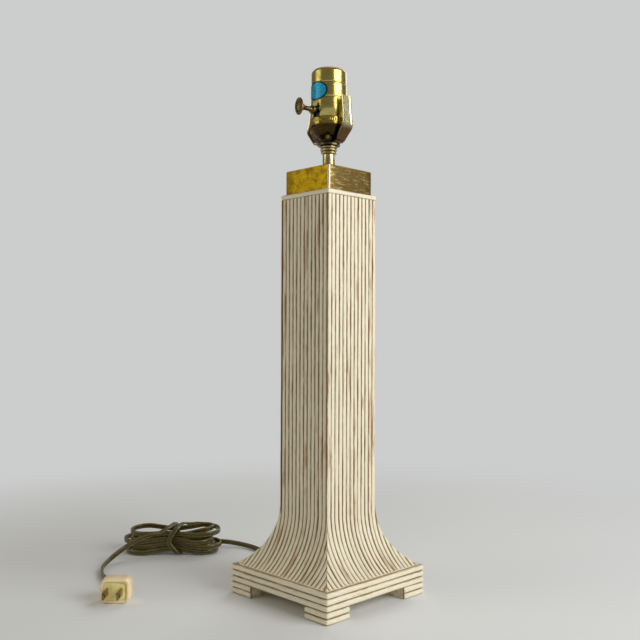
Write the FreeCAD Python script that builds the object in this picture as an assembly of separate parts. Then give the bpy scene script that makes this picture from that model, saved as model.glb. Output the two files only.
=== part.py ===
import FreeCAD, Part
import math
import os

# A square table lamp whose column and plinth are covered in split reeds, with a
# brass cap, a turn-key lamp socket in a harp saddle, and a tied hank of cord.
# Millimetres, +Z up. The origin is the middle of the plinth on the table top.
# The turn key points along -Y, and the arms of the harp saddle lie along X.

# Plinth and feet
plinth_width = 127.0
plinth_reed_rise = 5.4
plinth_reed_depth = 2.7
apron_rows = 3
foot_rows = 2
foot_size = 27.5

# Column
column_width = 63.2
column_top = 369.3
flare_start = 80.0
flare_radius = 64.0
reeds_on_side_face = 13
reeds_on_front_face = 12
flare_overrun = 0.02
column_reed_depth = 2.3
column_reed_web = 0.5
reed_facets = 4
flare_bends = 5
column_board = 6.0
top_board_thickness = 8.0
top_reed_rise = 4.8

# Metal stack over the column
cap_width = 57.2
cap_height = 22.0
sheet_metal = 1.0
cap_corner = 1.2
neck_diameter = 11.4
neck_height = 16.3
collar_diameter = 16.6
collar_height = 8.0
collar_rings = 3
collar_round = 0.9
washer_diameter = 21.0
washer_thickness = 1.8

# Threaded pipe and what holds it under the plinth
pipe_diameter = 10.0
pipe_bore = 6.8
pipe_clearance = 0.2
neck_clearance = 0.1
recess_diameter = 44.0
recess_depth = 10.2
nut_across = 19.0
nut_height = 3.4
under_washer_diameter = 28.0
under_washer_thickness = 1.2
pipe_tail = 1.0
pipe_in_cup = 11.0
bushing_height = 2.0
bushing_diameter = 13.0

# Harp saddle
saddle_width = 11.4
saddle_metal = 1.3
saddle_flat = 28.0
saddle_reach = 47.0
saddle_top_reach = 41.2
saddle_knee_height = 14.0
saddle_height = 41.0
saddle_lip = 1.8

# Lamp socket
shell_diameter = 33.5
shell_height = 51.0
shell_metal = 0.6
shell_clearance = 0.05
shell_shoulder = 2.4
cup_neck_diameter = 18.0
cup_neck_height = 1.6
cup_height = 14.0
cup_rim_height = 7.6
cup_rim_overlap = 5.0
cup_metal = 0.8
cup_bowl_out = 0.62
cup_bowl_up = 0.38
boss_diameter = 6.4
boss_reach = 15.8
boss_rise = 3.4
boss_turn = 45.0
set_screw_diameter = 3.6
set_screw_sunk = 0.6
sleeve_metal = 0.7
sleeve_clearance = 0.25
sleeve_mouth_clearance = 0.1
sleeve_stands_out = 1.0
body_flange = 1.6
body_diameter = 28.6
lamp_bore = 26.6
screw_shell_metal = 0.45
screw_shell_height = 21.0
screw_shell_clearance = 0.25
contact_width = 6.0
contact_metal = 0.6
contact_rise = 3.4
contact_reach = 5.2
contact_disc_radius = 6.5
contact_well_diameter = 16.0
contact_well_depth = 4.8

# Turn key
key_above_rim = 5.7
key_stem_diameter = 3.7
key_stem_clearance = 0.08
key_stem_reach = 36.7
key_ring_diameter = 6.2
key_ring_width = 2.0
key_ring_gap = 4.4
key_wide = 10.4
key_tall = 16.0
key_thick = 2.6
key_dish = 0.6
key_rim = 1.5
key_slot_width = 7.9
key_slot_over = 4.6
key_stem_start = 3.0

# Cord and plug
cord_width = 4.0
hank_x = -220.0
hank_y = -20.0
hank_turn = 45.0
hank_layers = 4
turns_per_layer = 1.5
hank_half_length = 51.4
hank_inner_radius = 13.0
hank_inner_waist = 6.0
hank_step = 5.8
hank_lay = 5.4
hank_uneven = 1.2
hank_right_swing = (1.9, 0.6)
hank_left_swing = (2.3, 2.0)
stations_per_turn = 6
climb_turns = 1 / 3
wrap_first = 7.2
wrap_second = 1.4
wrap_ease = 1.6
wrap_overlap = 0.75
plug_u = -19.0
plug_front_v = -177.5
plug_wide = 26.4
plug_tall = 21.6
plug_deep = 17.0
plug_neck_wide = 17.0
plug_neck_tall = 14.0
plug_neck_deep = 9.0
plug_round = 4.0
plug_recess = 1.6
plug_recess_edge = 3.0
plug_insert = 0.8
blade_gap = 12.7
blade_wide = 6.35
blade_metal = 1.5
blade_length = 16.0
blade_root = 8.0

# The cord's route where it lies free: from the bushing over the table in x, y and z,
# then by the hank and on to the plug in the hank's own u, v and z
lead_points = [
    (0, 0, 13.4), (0, 0, 7.4), (-3.9, 0.8, 3.4), (-11, 2.3, 2.0), (-24, 5.2, 2.0),
    (-45, 11, 2.0), (-78, 24, 2.0), (-112, 39, 2.0),
]
lead_by_hank = [(94, 0.7, 2.0), (76, 17.5, 2.0)]
lead_last_run = 22.0
tail_points = [
    (-9, -26, 22), (-19, -30, 18.5), (-34, -33, 11.5), (-47, -39, 5), (-55, -53, 2.0),
    (-57, -74, 2.0), (-53, -94, 2.0), (-45, -113, 2.5), (-31, -131, 7),
]
tail_last_run = 10.0

# Sizes that follow from the ones above
foot_height = foot_rows * plinth_reed_rise
plinth_top = (apron_rows + foot_rows) * plinth_reed_rise
plinth_half = plinth_width / 2
board_half = plinth_half - plinth_reed_depth
column_half = column_width / 2
core_half = column_half - column_reed_depth
flare_axis = column_half + flare_radius
top_band_base = column_top - top_reed_rise
top_board_base = column_top - top_board_thickness
cap_top = column_top + cap_height
neck_top = cap_top + neck_height
collar_top = neck_top + collar_height
saddle_base = collar_top + washer_thickness
socket_base = saddle_base + saddle_metal
shell_radius = shell_diameter / 2
cup_radius = shell_radius + shell_clearance + cup_metal
cup_ledge = socket_base + cup_height
rim_top = cup_ledge + cup_rim_height
boss_z = socket_base + boss_rise
boss_angle = math.radians(boss_turn)
shell_base = cup_ledge + body_flange
shell_top = shell_base + shell_height
key_z = rim_top + key_above_rim
sleeve_radius = shell_radius - shell_metal - sleeve_clearance
sleeve_neck_base = shell_top - shell_shoulder - sleeve_clearance - sleeve_metal
body_top = sleeve_neck_base - screw_shell_clearance - screw_shell_height
recess_top = foot_height + recess_depth
under_washer_base = recess_top - under_washer_thickness
nut_base = under_washer_base - nut_height
pipe_base = nut_base - pipe_tail
bushing_base = pipe_base - bushing_height
pipe_top = socket_base + pipe_in_cup
pipe_radius = pipe_diameter / 2
cord_radius = cord_width / 2
key_axes = [FreeCAD.Vector(0, 0, 1), FreeCAD.Vector(-1, 0, 0), FreeCAD.Vector(0, -1, 0)]
key_pose = FreeCAD.Rotation(*key_axes, "XYZ")
sides = ("front", "right", "back", "left")
sixths = [math.radians(60 * k) for k in range(7)]
hank_outer_radius = hank_inner_radius + turns_per_layer * hank_step
hank_outer_waist = hank_inner_waist + turns_per_layer * hank_step
hank_lobe = hank_half_length - hank_outer_radius
hank_low = cord_radius + hank_lay
hank_high = hank_low + (hank_layers - 1) * hank_lay


def save(name, shapes):
    shape = shapes[0] if len(shapes) == 1 else Part.makeCompound(shapes)
    shape.exportStep("parts/" + name + ".step")
    print(name, len(shape.Solids), "solids, volume", round(shape.Volume, 1), "valid", shape.isValid())


def block(x0, x1, y0, y1, z0, z1):
    return Part.makeBox(x1 - x0, y1 - y0, z1 - z0, FreeCAD.Vector(x0, y0, z0))


def slab(half, z0, z1):
    return block(-half, half, -half, half, z0, z1)


def rod(radius, z0, z1, x=0.0, y=0.0):
    return Part.makeCylinder(radius, z1 - z0, FreeCAD.Vector(x, y, z0))


def ring(outer, inner, z0, z1):
    return rod(outer, z0, z1).cut(rod(inner, z0, z1))


def rod_along_key(radius, y0, y1):
    """A cylinder about the turn key's axis, from one distance out to another."""
    start = FreeCAD.Vector(0, -y0, key_z)
    return Part.makeCylinder(radius, y1 - y0, start, FreeCAD.Vector(0, -1, 0))


def outline(start, steps, place):
    """A closed face. A step of 2 numbers is a line to there, one of 4 an arc through and to there."""
    edges = []
    at = start
    for step in list(steps) + [start]:
        end = step[-2:]
        if len(step) == 4:
            edges.append(Part.Arc(place(at), place(step[:2]), place(end)).toShape())
        elif abs(end[0] - at[0]) + abs(end[1] - at[1]) > 1e-6:
            edges.append(Part.LineSegment(place(at), place(end)).toShape())
        at = end
    return Part.Face(Part.Wire(edges))


def lathe(start, *steps):
    """A turned piece about Z from its half section, in radius and height."""
    face = outline(start, steps, lambda p: FreeCAD.Vector(p[0], 0, p[1]))
    return face.revolve(FreeCAD.Vector(0, 0, 0), FreeCAD.Vector(0, 0, 1), 360)


def four_sides(piece):
    """The same piece on each side of the square."""
    return [piece.rotated(FreeCAD.Vector(0, 0, 0), FreeCAD.Vector(0, 0, 1), 90 * k) for k in range(4)]


def mitre_wedge(reach, z0, z1):
    """The quarter of the square plan that belongs to the -Y side, bounded by the two diagonals."""
    corners = [(0, 0), (-reach, -reach), (reach, -reach), (0, 0)]
    wire = Part.makePolygon([FreeCAD.Vector(x, y, z0) for x, y in corners])
    return Part.Face(wire).extrude(FreeCAD.Vector(0, 0, z1 - z0))


def side_moulding(start, steps, x0, x1):
    """A length of moulding on the -Y side, from its section in distance out from the axis and height."""
    face = outline(start, steps, lambda p: FreeCAD.Vector(x0, -p[0], p[1]))
    return face.extrude(FreeCAD.Vector(x1 - x0, 0, 0))


def reed_crests(first, count, pitch, base, rise):
    """The outline of split reeds side by side, as (across, out) points: each a half round in flat facets."""
    points = []
    for k in range(count):
        for j in range(reed_facets):
            turn = math.pi * j / reed_facets
            points.append((first + pitch * (k + 0.5 - math.cos(turn) / 2), base + rise * math.sin(turn)))
    points.append((first + count * pitch, base))
    return points


def level_reed(back, low, pitch, rise, x0, x1):
    """A split reed lying level on the -Y side: flat back, round outside."""
    section = [(out, z) for z, out in reed_crests(low, 1, pitch, back, rise)]
    return side_moulding(section[0], section[1:], x0, x1)


def plinth():
    board = slab(board_half, foot_height, plinth_top)
    board = board.cut(rod(recess_diameter / 2, foot_height, recess_top))
    save("plinth_board", [board.cut(rod(pipe_radius + pipe_clearance, recess_top, plinth_top))])
    foot_inner = plinth_half - foot_size
    feet = block(foot_inner, board_half, foot_inner, board_half, 0, foot_height)
    save("foot_blocks", four_sides(feet))
    wedge = mitre_wedge(plinth_half, 0, plinth_top)
    for row in range(apron_rows):
        low = foot_height + row * plinth_reed_rise
        reed = level_reed(board_half, low, plinth_reed_rise, plinth_reed_depth, -plinth_half, plinth_half)
        save("apron_reeds_" + str(row + 1), four_sides(reed.common(wedge)))
    for row in range(foot_rows):
        low = row * plinth_reed_rise
        reeds = []
        for x0, x1 in ((-plinth_half, -foot_inner), (foot_inner, plinth_half)):
            reed = level_reed(board_half, low, plinth_reed_rise, plinth_reed_depth, x0, x1)
            reeds += four_sides(reed.common(wedge))
        save("foot_reeds_" + str(row + 1), reeds)


def column_box():
    """Four boards, mitred at the corners, and the blocks that flare out round their foot."""
    board = block(-core_half, core_half, -core_half, -core_half + column_board, plinth_top, top_board_base)
    boards = four_sides(board.common(mitre_wedge(core_half, plinth_top, top_board_base)))
    for name, piece in zip(sides, boards):
        save("column_board_" + name, [piece])
    radius = flare_radius + column_reed_depth
    low = math.asin((flare_start - plinth_top) / radius)
    spots = [(flare_axis - radius * math.cos(a), flare_start - radius * math.sin(a)) for a in (low, low / 2)]
    arc = spots[1] + (core_half, flare_start)
    foot = side_moulding((core_half, plinth_top), [spots[0], arc], -spots[0][0], spots[0][0])
    save("flare_blocks", four_sides(foot.common(mitre_wedge(spots[0][0], plinth_top, flare_start))))
    top = slab(core_half, top_board_base, column_top)
    save("top_board", [top.cut(rod(pipe_radius + pipe_clearance, top_board_base, column_top))])


def reeded_outline(count, pitch, turn):
    """So many upright reeds and the web that holds them, square to their run, a turn down the flare."""
    first = -count * pitch / 2
    web = core_half + column_reed_web
    crests = reed_crests(first, count, pitch, web, column_half - web)
    points = []
    for x, out in [(first, core_half)] + crests + [(-first, core_half), (first, core_half)]:
        reach = flare_axis - out
        y = flare_axis - reach * math.cos(turn)
        points.append(FreeCAD.Vector(x, -y, flare_start - reach * math.sin(turn)))
    return Part.makePolygon(points)


def reeded_side(on_shaft, width):
    """Reeds that run down one face and bend out over the flare, where more of them start at the mitres."""
    steepest = math.asin((flare_start - plinth_top) / flare_radius)
    widest = flare_axis - flare_radius * math.cos(steepest)
    pitch = width / on_shaft
    web_radius = flare_axis - core_half - column_reed_web
    web_foot = flare_axis - math.sqrt(web_radius ** 2 - (flare_start - plinth_top) ** 2)
    count = on_shaft + 2 * math.ceil(web_foot / pitch - on_shaft / 2)
    shaft = Part.Face(reeded_outline(on_shaft, pitch, 0))
    shaft = shaft.extrude(FreeCAD.Vector(0, 0, top_band_base - flare_start))
    turns = [(steepest + flare_overrun) * k / flare_bends for k in range(flare_bends + 1)]
    flare = Part.makeLoft([reeded_outline(count, pitch, turn) for turn in turns], True, True)
    return shaft.fuse(flare.common(mitre_wedge(2 * widest, plinth_top, flare_start)))


def reeded_sides():
    """The right and left faces are reeded to their full width and lap the ends of the other two."""
    front = four_sides(reeded_side(reeds_on_front_face, 2 * core_half))
    right = four_sides(reeded_side(reeds_on_side_face, column_width))
    for name, piece in zip(sides, (front[0], right[1], front[2], right[3])):
        save("reeds_" + name, piece.Solids)


def top_band():
    wedge = mitre_wedge(column_half, top_band_base, column_top)
    reed = level_reed(core_half, top_band_base, top_reed_rise, column_reed_depth, -column_half, column_half)
    save("top_band", four_sides(reed.common(wedge)))


def brass_cap():
    """A folded square box, open below, that drops over the pipe onto the top board."""
    box = slab(cap_width / 2, column_top, cap_top)
    upright = [e for e in box.Edges if abs(e.Vertexes[0].Z - e.Vertexes[1].Z) > cap_height / 2]
    box = box.makeFillet(cap_corner, upright)
    box = box.cut(slab(cap_width / 2 - sheet_metal, column_top, cap_top - sheet_metal))
    save("brass_cap", [box.cut(rod(pipe_radius + pipe_clearance, column_top, cap_top))])


def pipe_and_fittings():
    """The pipe that ties the lamp together, its steel washers and nut, and the turned brass on it."""
    save("threaded_pipe", [ring(pipe_radius, pipe_bore / 2, pipe_base, pipe_top)])
    bore = pipe_radius + pipe_clearance
    low_washer = ring(under_washer_diameter / 2, bore, under_washer_base, recess_top)
    top_washer = ring(washer_diameter / 2, bore, collar_top, saddle_base)
    corners = [nut_across / math.sqrt(3) * complex(math.cos(a), math.sin(a)) for a in sixths]
    hexagon = Part.makePolygon([FreeCAD.Vector(c.real, c.imag, nut_base) for c in corners])
    nut = Part.Face(hexagon).extrude(FreeCAD.Vector(0, 0, nut_height))
    nut = nut.cut(rod(pipe_radius, nut_base, recess_top))
    save("steel_fittings", [low_washer, nut, top_washer])
    bushing = ring(bushing_diameter / 2, cord_radius, bushing_base, pipe_base)
    neck = ring(neck_diameter / 2, pipe_radius + neck_clearance, cap_top, neck_top)
    save("brass_fittings", [bushing, neck, beaded_collar()])


def beaded_collar():
    """A turned collar of three rings with a groove between them."""
    outer = collar_diameter / 2
    rise = collar_height / collar_rings
    bore = pipe_radius + pipe_clearance
    steps = []
    for k in range(collar_rings):
        z = neck_top + k * rise
        steps += [(outer - collar_round, z), (outer, z + collar_round), (outer, z + rise - collar_round)]
    steps += [(outer - collar_round, collar_top), (bore, collar_top)]
    return lathe((bore, neck_top), *steps)


def harp_saddle():
    """A bent strip: a flat foot under the socket, two slanting arms and two uprights with rolled lips."""
    half = saddle_width / 2
    outer = [(saddle_flat / 2, 0.0), (saddle_reach / 2, saddle_knee_height)]
    outer.append((saddle_top_reach / 2, saddle_height))
    inner = offset_inward(outer, saddle_metal)
    loop = outer + inner[::-1]
    loop += [(-x, z) for x, z in inner] + [(-x, z) for x, z in outer[::-1]]
    loop.append(loop[0])
    wire = Part.makePolygon([FreeCAD.Vector(x, -half, saddle_base + z) for x, z in loop])
    strip = Part.Face(wire).extrude(FreeCAD.Vector(0, saddle_width, 0))
    for side in (-1, 1):
        for y in (-half, half - saddle_metal):
            knee, tip, lip = outer[1], outer[2], saddle_lip
            corners = [knee, (knee[0] + lip, knee[1] + lip), (tip[0] + lip, tip[1]), tip, knee]
            wire = Part.makePolygon([FreeCAD.Vector(side * x, y, saddle_base + z) for x, z in corners])
            strip = strip.fuse(Part.Face(wire).extrude(FreeCAD.Vector(0, saddle_metal, 0)))
    strip = strip.cut(rod(pipe_radius + pipe_clearance, saddle_base, socket_base)).removeSplitter()
    save("harp_saddle", strip.Solids)


def offset_inward(points, thickness):
    """The strip's inside corners, a metal thickness in from its outside ones."""
    tilt_arm = math.atan2(points[1][1] - points[0][1], points[1][0] - points[0][0])
    tilt_post = math.atan2(points[2][1] - points[1][1], points[2][0] - points[1][0])
    foot = (points[0][0] - thickness * math.tan(tilt_arm / 2), thickness)
    half = (tilt_arm + tilt_post) / 2 + math.pi / 2
    reach = thickness / math.cos((tilt_post - tilt_arm) / 2)
    knee = (points[1][0] + reach * math.cos(half), points[1][1] + reach * math.sin(half))
    tip = (points[2][0] - thickness / math.sin(tilt_post), points[2][1])
    return [foot, knee, tip]


def socket_cup():
    """The bowl under the socket, with a straight rim round the shell and a boss for the set screw."""
    neck = cup_neck_diameter / 2
    low = socket_base + cup_neck_height
    bulge = (neck + (cup_radius - neck) * cup_bowl_out, low + (cup_ledge - low) * cup_bowl_up)
    bore = pipe_radius
    steps = [(neck, socket_base), (neck, low), bulge, (cup_radius, cup_ledge), (cup_radius, rim_top)]
    steps += [(cup_radius - cup_metal, rim_top), (cup_radius - cup_metal, cup_ledge), (bore, cup_ledge)]
    cup = lathe((bore, socket_base), *steps)
    out = FreeCAD.Vector(math.sin(boss_angle), -math.cos(boss_angle), 0)
    start = FreeCAD.Vector(0, 0, boss_z)
    boss = Part.makeCylinder(boss_diameter / 2, boss_reach, start, out).cut(rod(bore, socket_base, cup_ledge))
    screw = Part.makeCylinder(set_screw_diameter / 2, boss_reach - set_screw_sunk, start, out)
    hole = Part.makeCylinder(set_screw_diameter / 2, boss_reach, start, out)
    save("socket_cup", cup.fuse(boss).cut(hole).Solids)
    save("set_screw", screw.cut(rod(bore, socket_base, cup_ledge)).Solids)


def socket_shell():
    """A thin drawn shell with a turned-in shoulder, slotted for the turn key, and its card lining."""
    mouth = shell_radius - shell_shoulder
    inside = shell_radius - shell_metal
    shoulder = shell_top - shell_shoulder
    steps = [(shell_radius, shoulder), (mouth, shell_top), (mouth, shoulder), (inside, shoulder)]
    steps.append((inside, shell_base))
    shell = lathe((shell_radius, shell_base), *steps)
    half = key_slot_width / 2
    slot = block(-half, half, -2 * shell_radius, 0, shell_base, key_z + key_slot_over)
    save("socket_shell", shell.cut(slot).Solids)
    under = shoulder - sleeve_clearance
    lining = sleeve_radius - sleeve_metal
    collar = mouth - sleeve_mouth_clearance
    rim = shell_top + sleeve_stands_out
    steps = [(sleeve_radius, under), (collar, under), (collar, rim), (collar - sleeve_metal, rim)]
    steps += [(collar - sleeve_metal, sleeve_neck_base), (lining, sleeve_neck_base), (lining, shell_base)]
    sleeve = lathe((sleeve_radius, shell_base), *steps)
    save("insulating_sleeve", sleeve.cut(slot).Solids)


def switch_body():
    """The moulded body in the shell, bored for the key, with the contact in a well under the screw shell."""
    body = lathe(
        (0, cup_ledge),
        (cup_radius - cup_metal - shell_clearance, cup_ledge),
        (cup_radius - cup_metal - shell_clearance, shell_base),
        (body_diameter / 2, shell_base),
        (body_diameter / 2, body_top),
        (0, body_top),
    )
    body = body.cut(rod_along_key(key_stem_diameter / 2 + key_stem_clearance, 0, body_diameter))
    well = body_top - contact_well_depth
    save("switch_body", body.cut(rod(contact_well_diameter / 2, well, body_top)).Solids)
    radius = lamp_bore / 2
    save("screw_shell", [ring(radius + screw_shell_metal, radius, body_top, body_top + screw_shell_height)])
    low = well + contact_metal
    save("contact_disc", [rod(contact_disc_radius, well, low)])
    reach, metal = contact_reach, contact_metal
    section = [(-reach, low), (0, low), (reach, low + contact_rise), (reach, low + contact_rise + metal)]
    section += [(-metal / 2, low + metal), (-reach, low + metal), (-reach, low)]
    wire = Part.makePolygon([FreeCAD.Vector(x, -contact_width / 2, z) for x, z in section])
    save("centre_contact", [Part.Face(wire).extrude(FreeCAD.Vector(0, contact_width, 0))])


def turn_key():
    """A stem with a flared ring at each end and an oval, dished thumb piece across its end."""
    radius = key_stem_diameter / 2
    stem = rod_along_key(radius, key_stem_start, key_stem_reach)
    near = shell_radius + key_ring_gap
    for start in (near, key_stem_reach - key_ring_width):
        stem = stem.fuse(rod_along_key(key_ring_diameter / 2, start, start + key_ring_width))
    save("switch_stem", stem.Solids)
    oval = Part.Ellipse(FreeCAD.Vector(0, 0, 0), key_tall / 2, key_wide / 2)
    inner = Part.Ellipse(FreeCAD.Vector(0, 0, 0), key_tall / 2 - key_rim, key_wide / 2 - key_rim)
    plate = Part.Face(Part.Wire([oval.toShape()])).extrude(FreeCAD.Vector(0, 0, key_thick))
    floor = FreeCAD.Vector(0, 0, key_thick - key_dish)
    dish = Part.Face(Part.Wire([inner.toShape()])).extrude(FreeCAD.Vector(0, 0, key_dish))
    dish.translate(floor)
    plate = plate.cut(dish)
    plate.Placement = FreeCAD.Placement(FreeCAD.Vector(0, -key_stem_reach, key_z), key_pose)
    save("turn_key", plate.Solids)


def hank_point(u, v, z):
    """A point from the hank's own directions: u to the camera's right, v away from it."""
    turn = math.radians(hank_turn)
    x = hank_x + u * math.cos(turn) - v * math.sin(turn)
    y = hank_y + u * math.sin(turn) + v * math.cos(turn)
    return FreeCAD.Vector(x, y, z)


def hank_way(u, v, z):
    return (hank_point(u, v, z) - hank_point(0, 0, 0)).normalize()


def arc_or_line(start, way, end):
    """The arc that leaves start in a direction and arrives at end, or a line where it is straight."""
    chord = end - start
    along = FreeCAD.Vector(chord).normalize()
    side = way - along * way.dot(along)
    if side.Length < 1e-5:
        return Part.LineSegment(start, end).toShape(), chord.Length * 1e3
    half = math.acos(max(-1.0, min(1.0, way.dot(along))))
    middle = start + chord * 0.5 + side.normalize() * (chord.Length / 2 * math.tan(half / 2))
    return Part.Arc(start, middle, end).toShape(), chord.Length / 2 / math.sin(half)


def biarcs(stations):
    """Two arcs from each station (point, direction) to the next, tangent all the way, and the radii."""
    edges = []
    radii = []
    for (p0, t0), (p1, t1) in zip(stations, stations[1:]):
        gap = p1 - p0
        both = t0 + t1
        bend = 2 * (1 - t0.dot(t1))
        if bend < 1e-9:
            reach = gap.dot(gap) / (4 * gap.dot(t1))
        else:
            reach = (math.sqrt(gap.dot(both) ** 2 + bend * gap.dot(gap)) - gap.dot(both)) / bend
        meet = (p0 + t0 * reach + p1 - t1 * reach) * 0.5
        cross = (p1 - t1 * reach) - (p0 + t0 * reach)
        if gap.getAngle(t0) < 1e-6 and gap.getAngle(t1) < 1e-6:
            edges.append(Part.LineSegment(p0, p1).toShape())
            continue
        for start, way, end in ((p0, t0, meet), (meet, cross.normalize(), p1)):
            edge, radius = arc_or_line(start, way, end)
            edges.append(edge)
            radii.append(radius)
    return edges, radii


def rounded_route(points):
    """Straight runs joined by tangent arcs, each as large as its two runs allow."""
    edges = []
    radii = []
    at = points[0]
    for before, corner, after in zip(points, points[1:], points[2:]):
        arrive = FreeCAD.Vector(corner - before).normalize()
        leave = FreeCAD.Vector(after - corner).normalize()
        half = arrive.getAngle(leave) / 2
        cut = 0.45 * min((corner - before).Length, (after - corner).Length)
        start = corner - arrive * cut
        end = corner + leave * cut
        inward = FreeCAD.Vector(leave - arrive).normalize()
        radius = cut / math.tan(half)
        middle = corner + inward * (radius / math.cos(half) - radius)
        edges.append(Part.LineSegment(at, start).toShape())
        edges.append(Part.Arc(start, middle, end).toShape())
        radii.append(radius)
        at = end
    edges.append(Part.LineSegment(at, points[-1]).toShape())
    return edges, radii


def cord_tube(name, edges, radii):
    """A square-edged tube along a path. Its length and tightest radius are printed, and its volume share."""
    path = Part.Wire(edges)
    start = edges[0].valueAt(edges[0].FirstParameter)
    way = edges[0].tangentAt(edges[0].FirstParameter).normalize()
    across = way.cross(FreeCAD.Vector(0, 0, 1))
    if across.Length < 1e-3:
        across = FreeCAD.Vector(0, 1, 0)
    across = across.normalize() * cord_radius
    up = across.cross(way)
    corners = [start + across * a + up * b for a, b in ((-1, -1), (1, -1), (1, 1), (-1, 1), (-1, -1))]
    section = Part.makePolygon(corners)
    tube = path.makePipeShell([section], True, False)
    share = tube.Volume / (cord_width ** 2 * path.Length)
    print(name, "length", round(path.Length, 1), "tightest", round(min(radii), 2), "share", round(share, 4))
    save(name, tube.Solids)


def hank_stations():
    """Loops drawn in at the waist that spiral in and out by turns and climb a layer where they reverse."""
    stations = []
    for count in range(round(hank_layers * turns_per_layer * stations_per_turn) + 1):
        turns = count / stations_per_turn
        layer = min(int(turns / turns_per_layer + 1e-6), hank_layers - 1)
        done = turns - layer * turns_per_layer
        level = layer
        if layer > 0 and done < climb_turns - 1e-6:
            level = layer - 1 + round(done / climb_turns, 3)
        share = max(0.0, done - climb_turns) / (turns_per_layer - climb_turns)
        step = (share if layer % 2 else 1 - share) * turns_per_layer * hank_step
        lobe = hank_inner_radius + step
        waist = hank_inner_waist + step
        reach_right = hank_lobe + hank_uneven * math.sin(hank_right_swing[0] * level + hank_right_swing[1])
        reach_left = hank_lobe + hank_uneven * math.sin(hank_left_swing[0] * level + hank_left_swing[1])
        spots = (
            (reach_right, lobe, -1),
            (0, waist, -1),
            (-reach_left, lobe, -1),
            (-reach_left, -lobe, 1),
            (0, -waist, 1),
            (reach_right, -lobe, 1),
        )
        u, v, along = spots[count % stations_per_turn]
        stations.append((hank_point(u, v, hank_low + hank_lay * level), hank_way(along, 0, 0)))
    first, last = stations[0], stations[-1]
    stations.insert(0, (first[0] - first[1] * cord_width, first[1]))
    stations.append((last[0] + last[1] * cord_width, last[1]))
    return stations


def sampled(edges):
    points = []
    for edge in edges:
        points += edge.discretize(max(2, int(edge.Length / 1.5) + 1))[:-1]
    return points


def least_gap(first, second, apart):
    """The least clear distance between two sampled centrelines, beside or over each other."""
    best = 1e9
    for i, p in enumerate(first):
        for q in second[i + apart:] if first is second else second:
            if abs(p.x - q.x) < best and abs(p.y - q.y) < best and abs(p.z - q.z) < best:
                best = min(best, max(math.hypot(p.x - q.x, p.y - q.y), abs(p.z - q.z)))
    return best - cord_width


def cord():
    stations = hank_stations()
    first, last = stations[0], stations[-1]
    lead = [FreeCAD.Vector(*p) for p in lead_points]
    lead[0].z = bushing_base
    lead += [hank_point(*p) for p in lead_by_hank]
    lead += [first[0] - first[1] * lead_last_run, first[0]]
    cord_tube("cord_lead", *rounded_route(lead))
    hank_edges, radii = biarcs(stations)
    cord_tube("cord_hank", hank_edges, radii)
    tail = [hank_point(*p) for p in tail_points]
    plug_back = plug_deep + plug_neck_deep
    tail += [hank_point(plug_u, plug_front_v + plug_back + run, plug_tall / 2) for run in (tail_last_run, 0)]
    wrap = [last]
    for u, v, z, way in wrap_places():
        wrap.append((hank_point(u, v, z), hank_way(*way)))
    wrap.append((tail[0], FreeCAD.Vector(tail[1] - tail[0]).normalize()))
    wrap_edges, wrap_radii = biarcs(wrap)
    cord_tube("cord_wrap", wrap_edges, wrap_radii)
    cord_tube("cord_tail", *rounded_route(tail))
    hank_line, wrap_line = sampled(hank_edges), sampled(wrap_edges)
    print("hank least gap to itself", round(least_gap(hank_line, hank_line, 9), 2))
    print("wrap least gap to itself", round(least_gap(wrap_line, wrap_line, 9), 2))
    print("wrap least gap to hank", round(least_gap(hank_line[:-9], wrap_line, 0), 2))


def wrap_places():
    """The cord's own end goes once and a half round the waist, close over the outermost turns."""
    v = hank_outer_waist + wrap_ease
    side = v + hank_lay
    top = hank_high + hank_lay
    bottom = cord_radius
    return [
        (wrap_first, v * wrap_overlap, top, (0, -1, 0)),
        (wrap_first, -v, top, (0, -1, 0)),
        (wrap_first, -side, hank_high, (0, 0, -1)),
        (wrap_first, -side, hank_low, (0, 0, -1)),
        (wrap_first, -v, bottom, (0, 1, 0)),
        (wrap_second, v, bottom, (0, 1, 0)),
        (wrap_second, side, hank_low, (0, 0, 1)),
        (wrap_second, side, hank_high, (0, 0, 1)),
        (wrap_second, v, top, (0, -1, 0)),
        (wrap_second, -v * wrap_overlap, top, (0, -1, 0)),
    ]


def plug():
    """A moulded two-blade plug lying on its side, built facing -Y and then turned to its place."""
    wide, tall = plug_wide / 2, plug_tall / 2
    body = block(-wide, wide, 0, plug_deep, -tall, tall)
    along = [e for e in body.Edges if abs(e.tangentAt(e.FirstParameter).y) > 0.9]
    body = body.makeFillet(plug_round, along)
    neck_x, neck_z = plug_neck_wide / 2, plug_neck_tall / 2
    neck = block(-neck_x, neck_x, 0, plug_neck_deep, -neck_z, neck_z)
    neck.translate(FreeCAD.Vector(0, plug_deep, 0))
    along = [e for e in neck.Edges if abs(e.tangentAt(e.FirstParameter).y) > 0.9]
    body = body.fuse(neck.makeFillet(plug_round, along))
    pocket_x, pocket_z = wide - plug_recess_edge, tall - plug_recess_edge
    pocket = block(-pocket_x, pocket_x, 0, plug_recess, -pocket_z, pocket_z)
    insert = block(-pocket_x, pocket_x, plug_recess - plug_insert, plug_recess, -pocket_z, pocket_z)
    body = body.cut(pocket)
    blades = []
    for side in (-1, 1):
        x = side * blade_gap / 2
        half = blade_metal / 2
        blade = block(x - half, x + half, -blade_length, blade_root, -blade_wide / 2, blade_wide / 2)
        body = body.cut(blade)
        insert = insert.cut(blade)
        blades.append(blade)
    turn = FreeCAD.Rotation(FreeCAD.Vector(0, 0, 1), hank_turn)
    place = FreeCAD.Placement(hank_point(plug_u, plug_front_v, tall), turn)
    for name, shapes in (("plug_body", body.Solids), ("plug_insert", insert.Solids), ("plug_blades", blades)):
        for shape in shapes:
            shape.Placement = place.multiply(shape.Placement)
        save(name, shapes)


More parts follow.
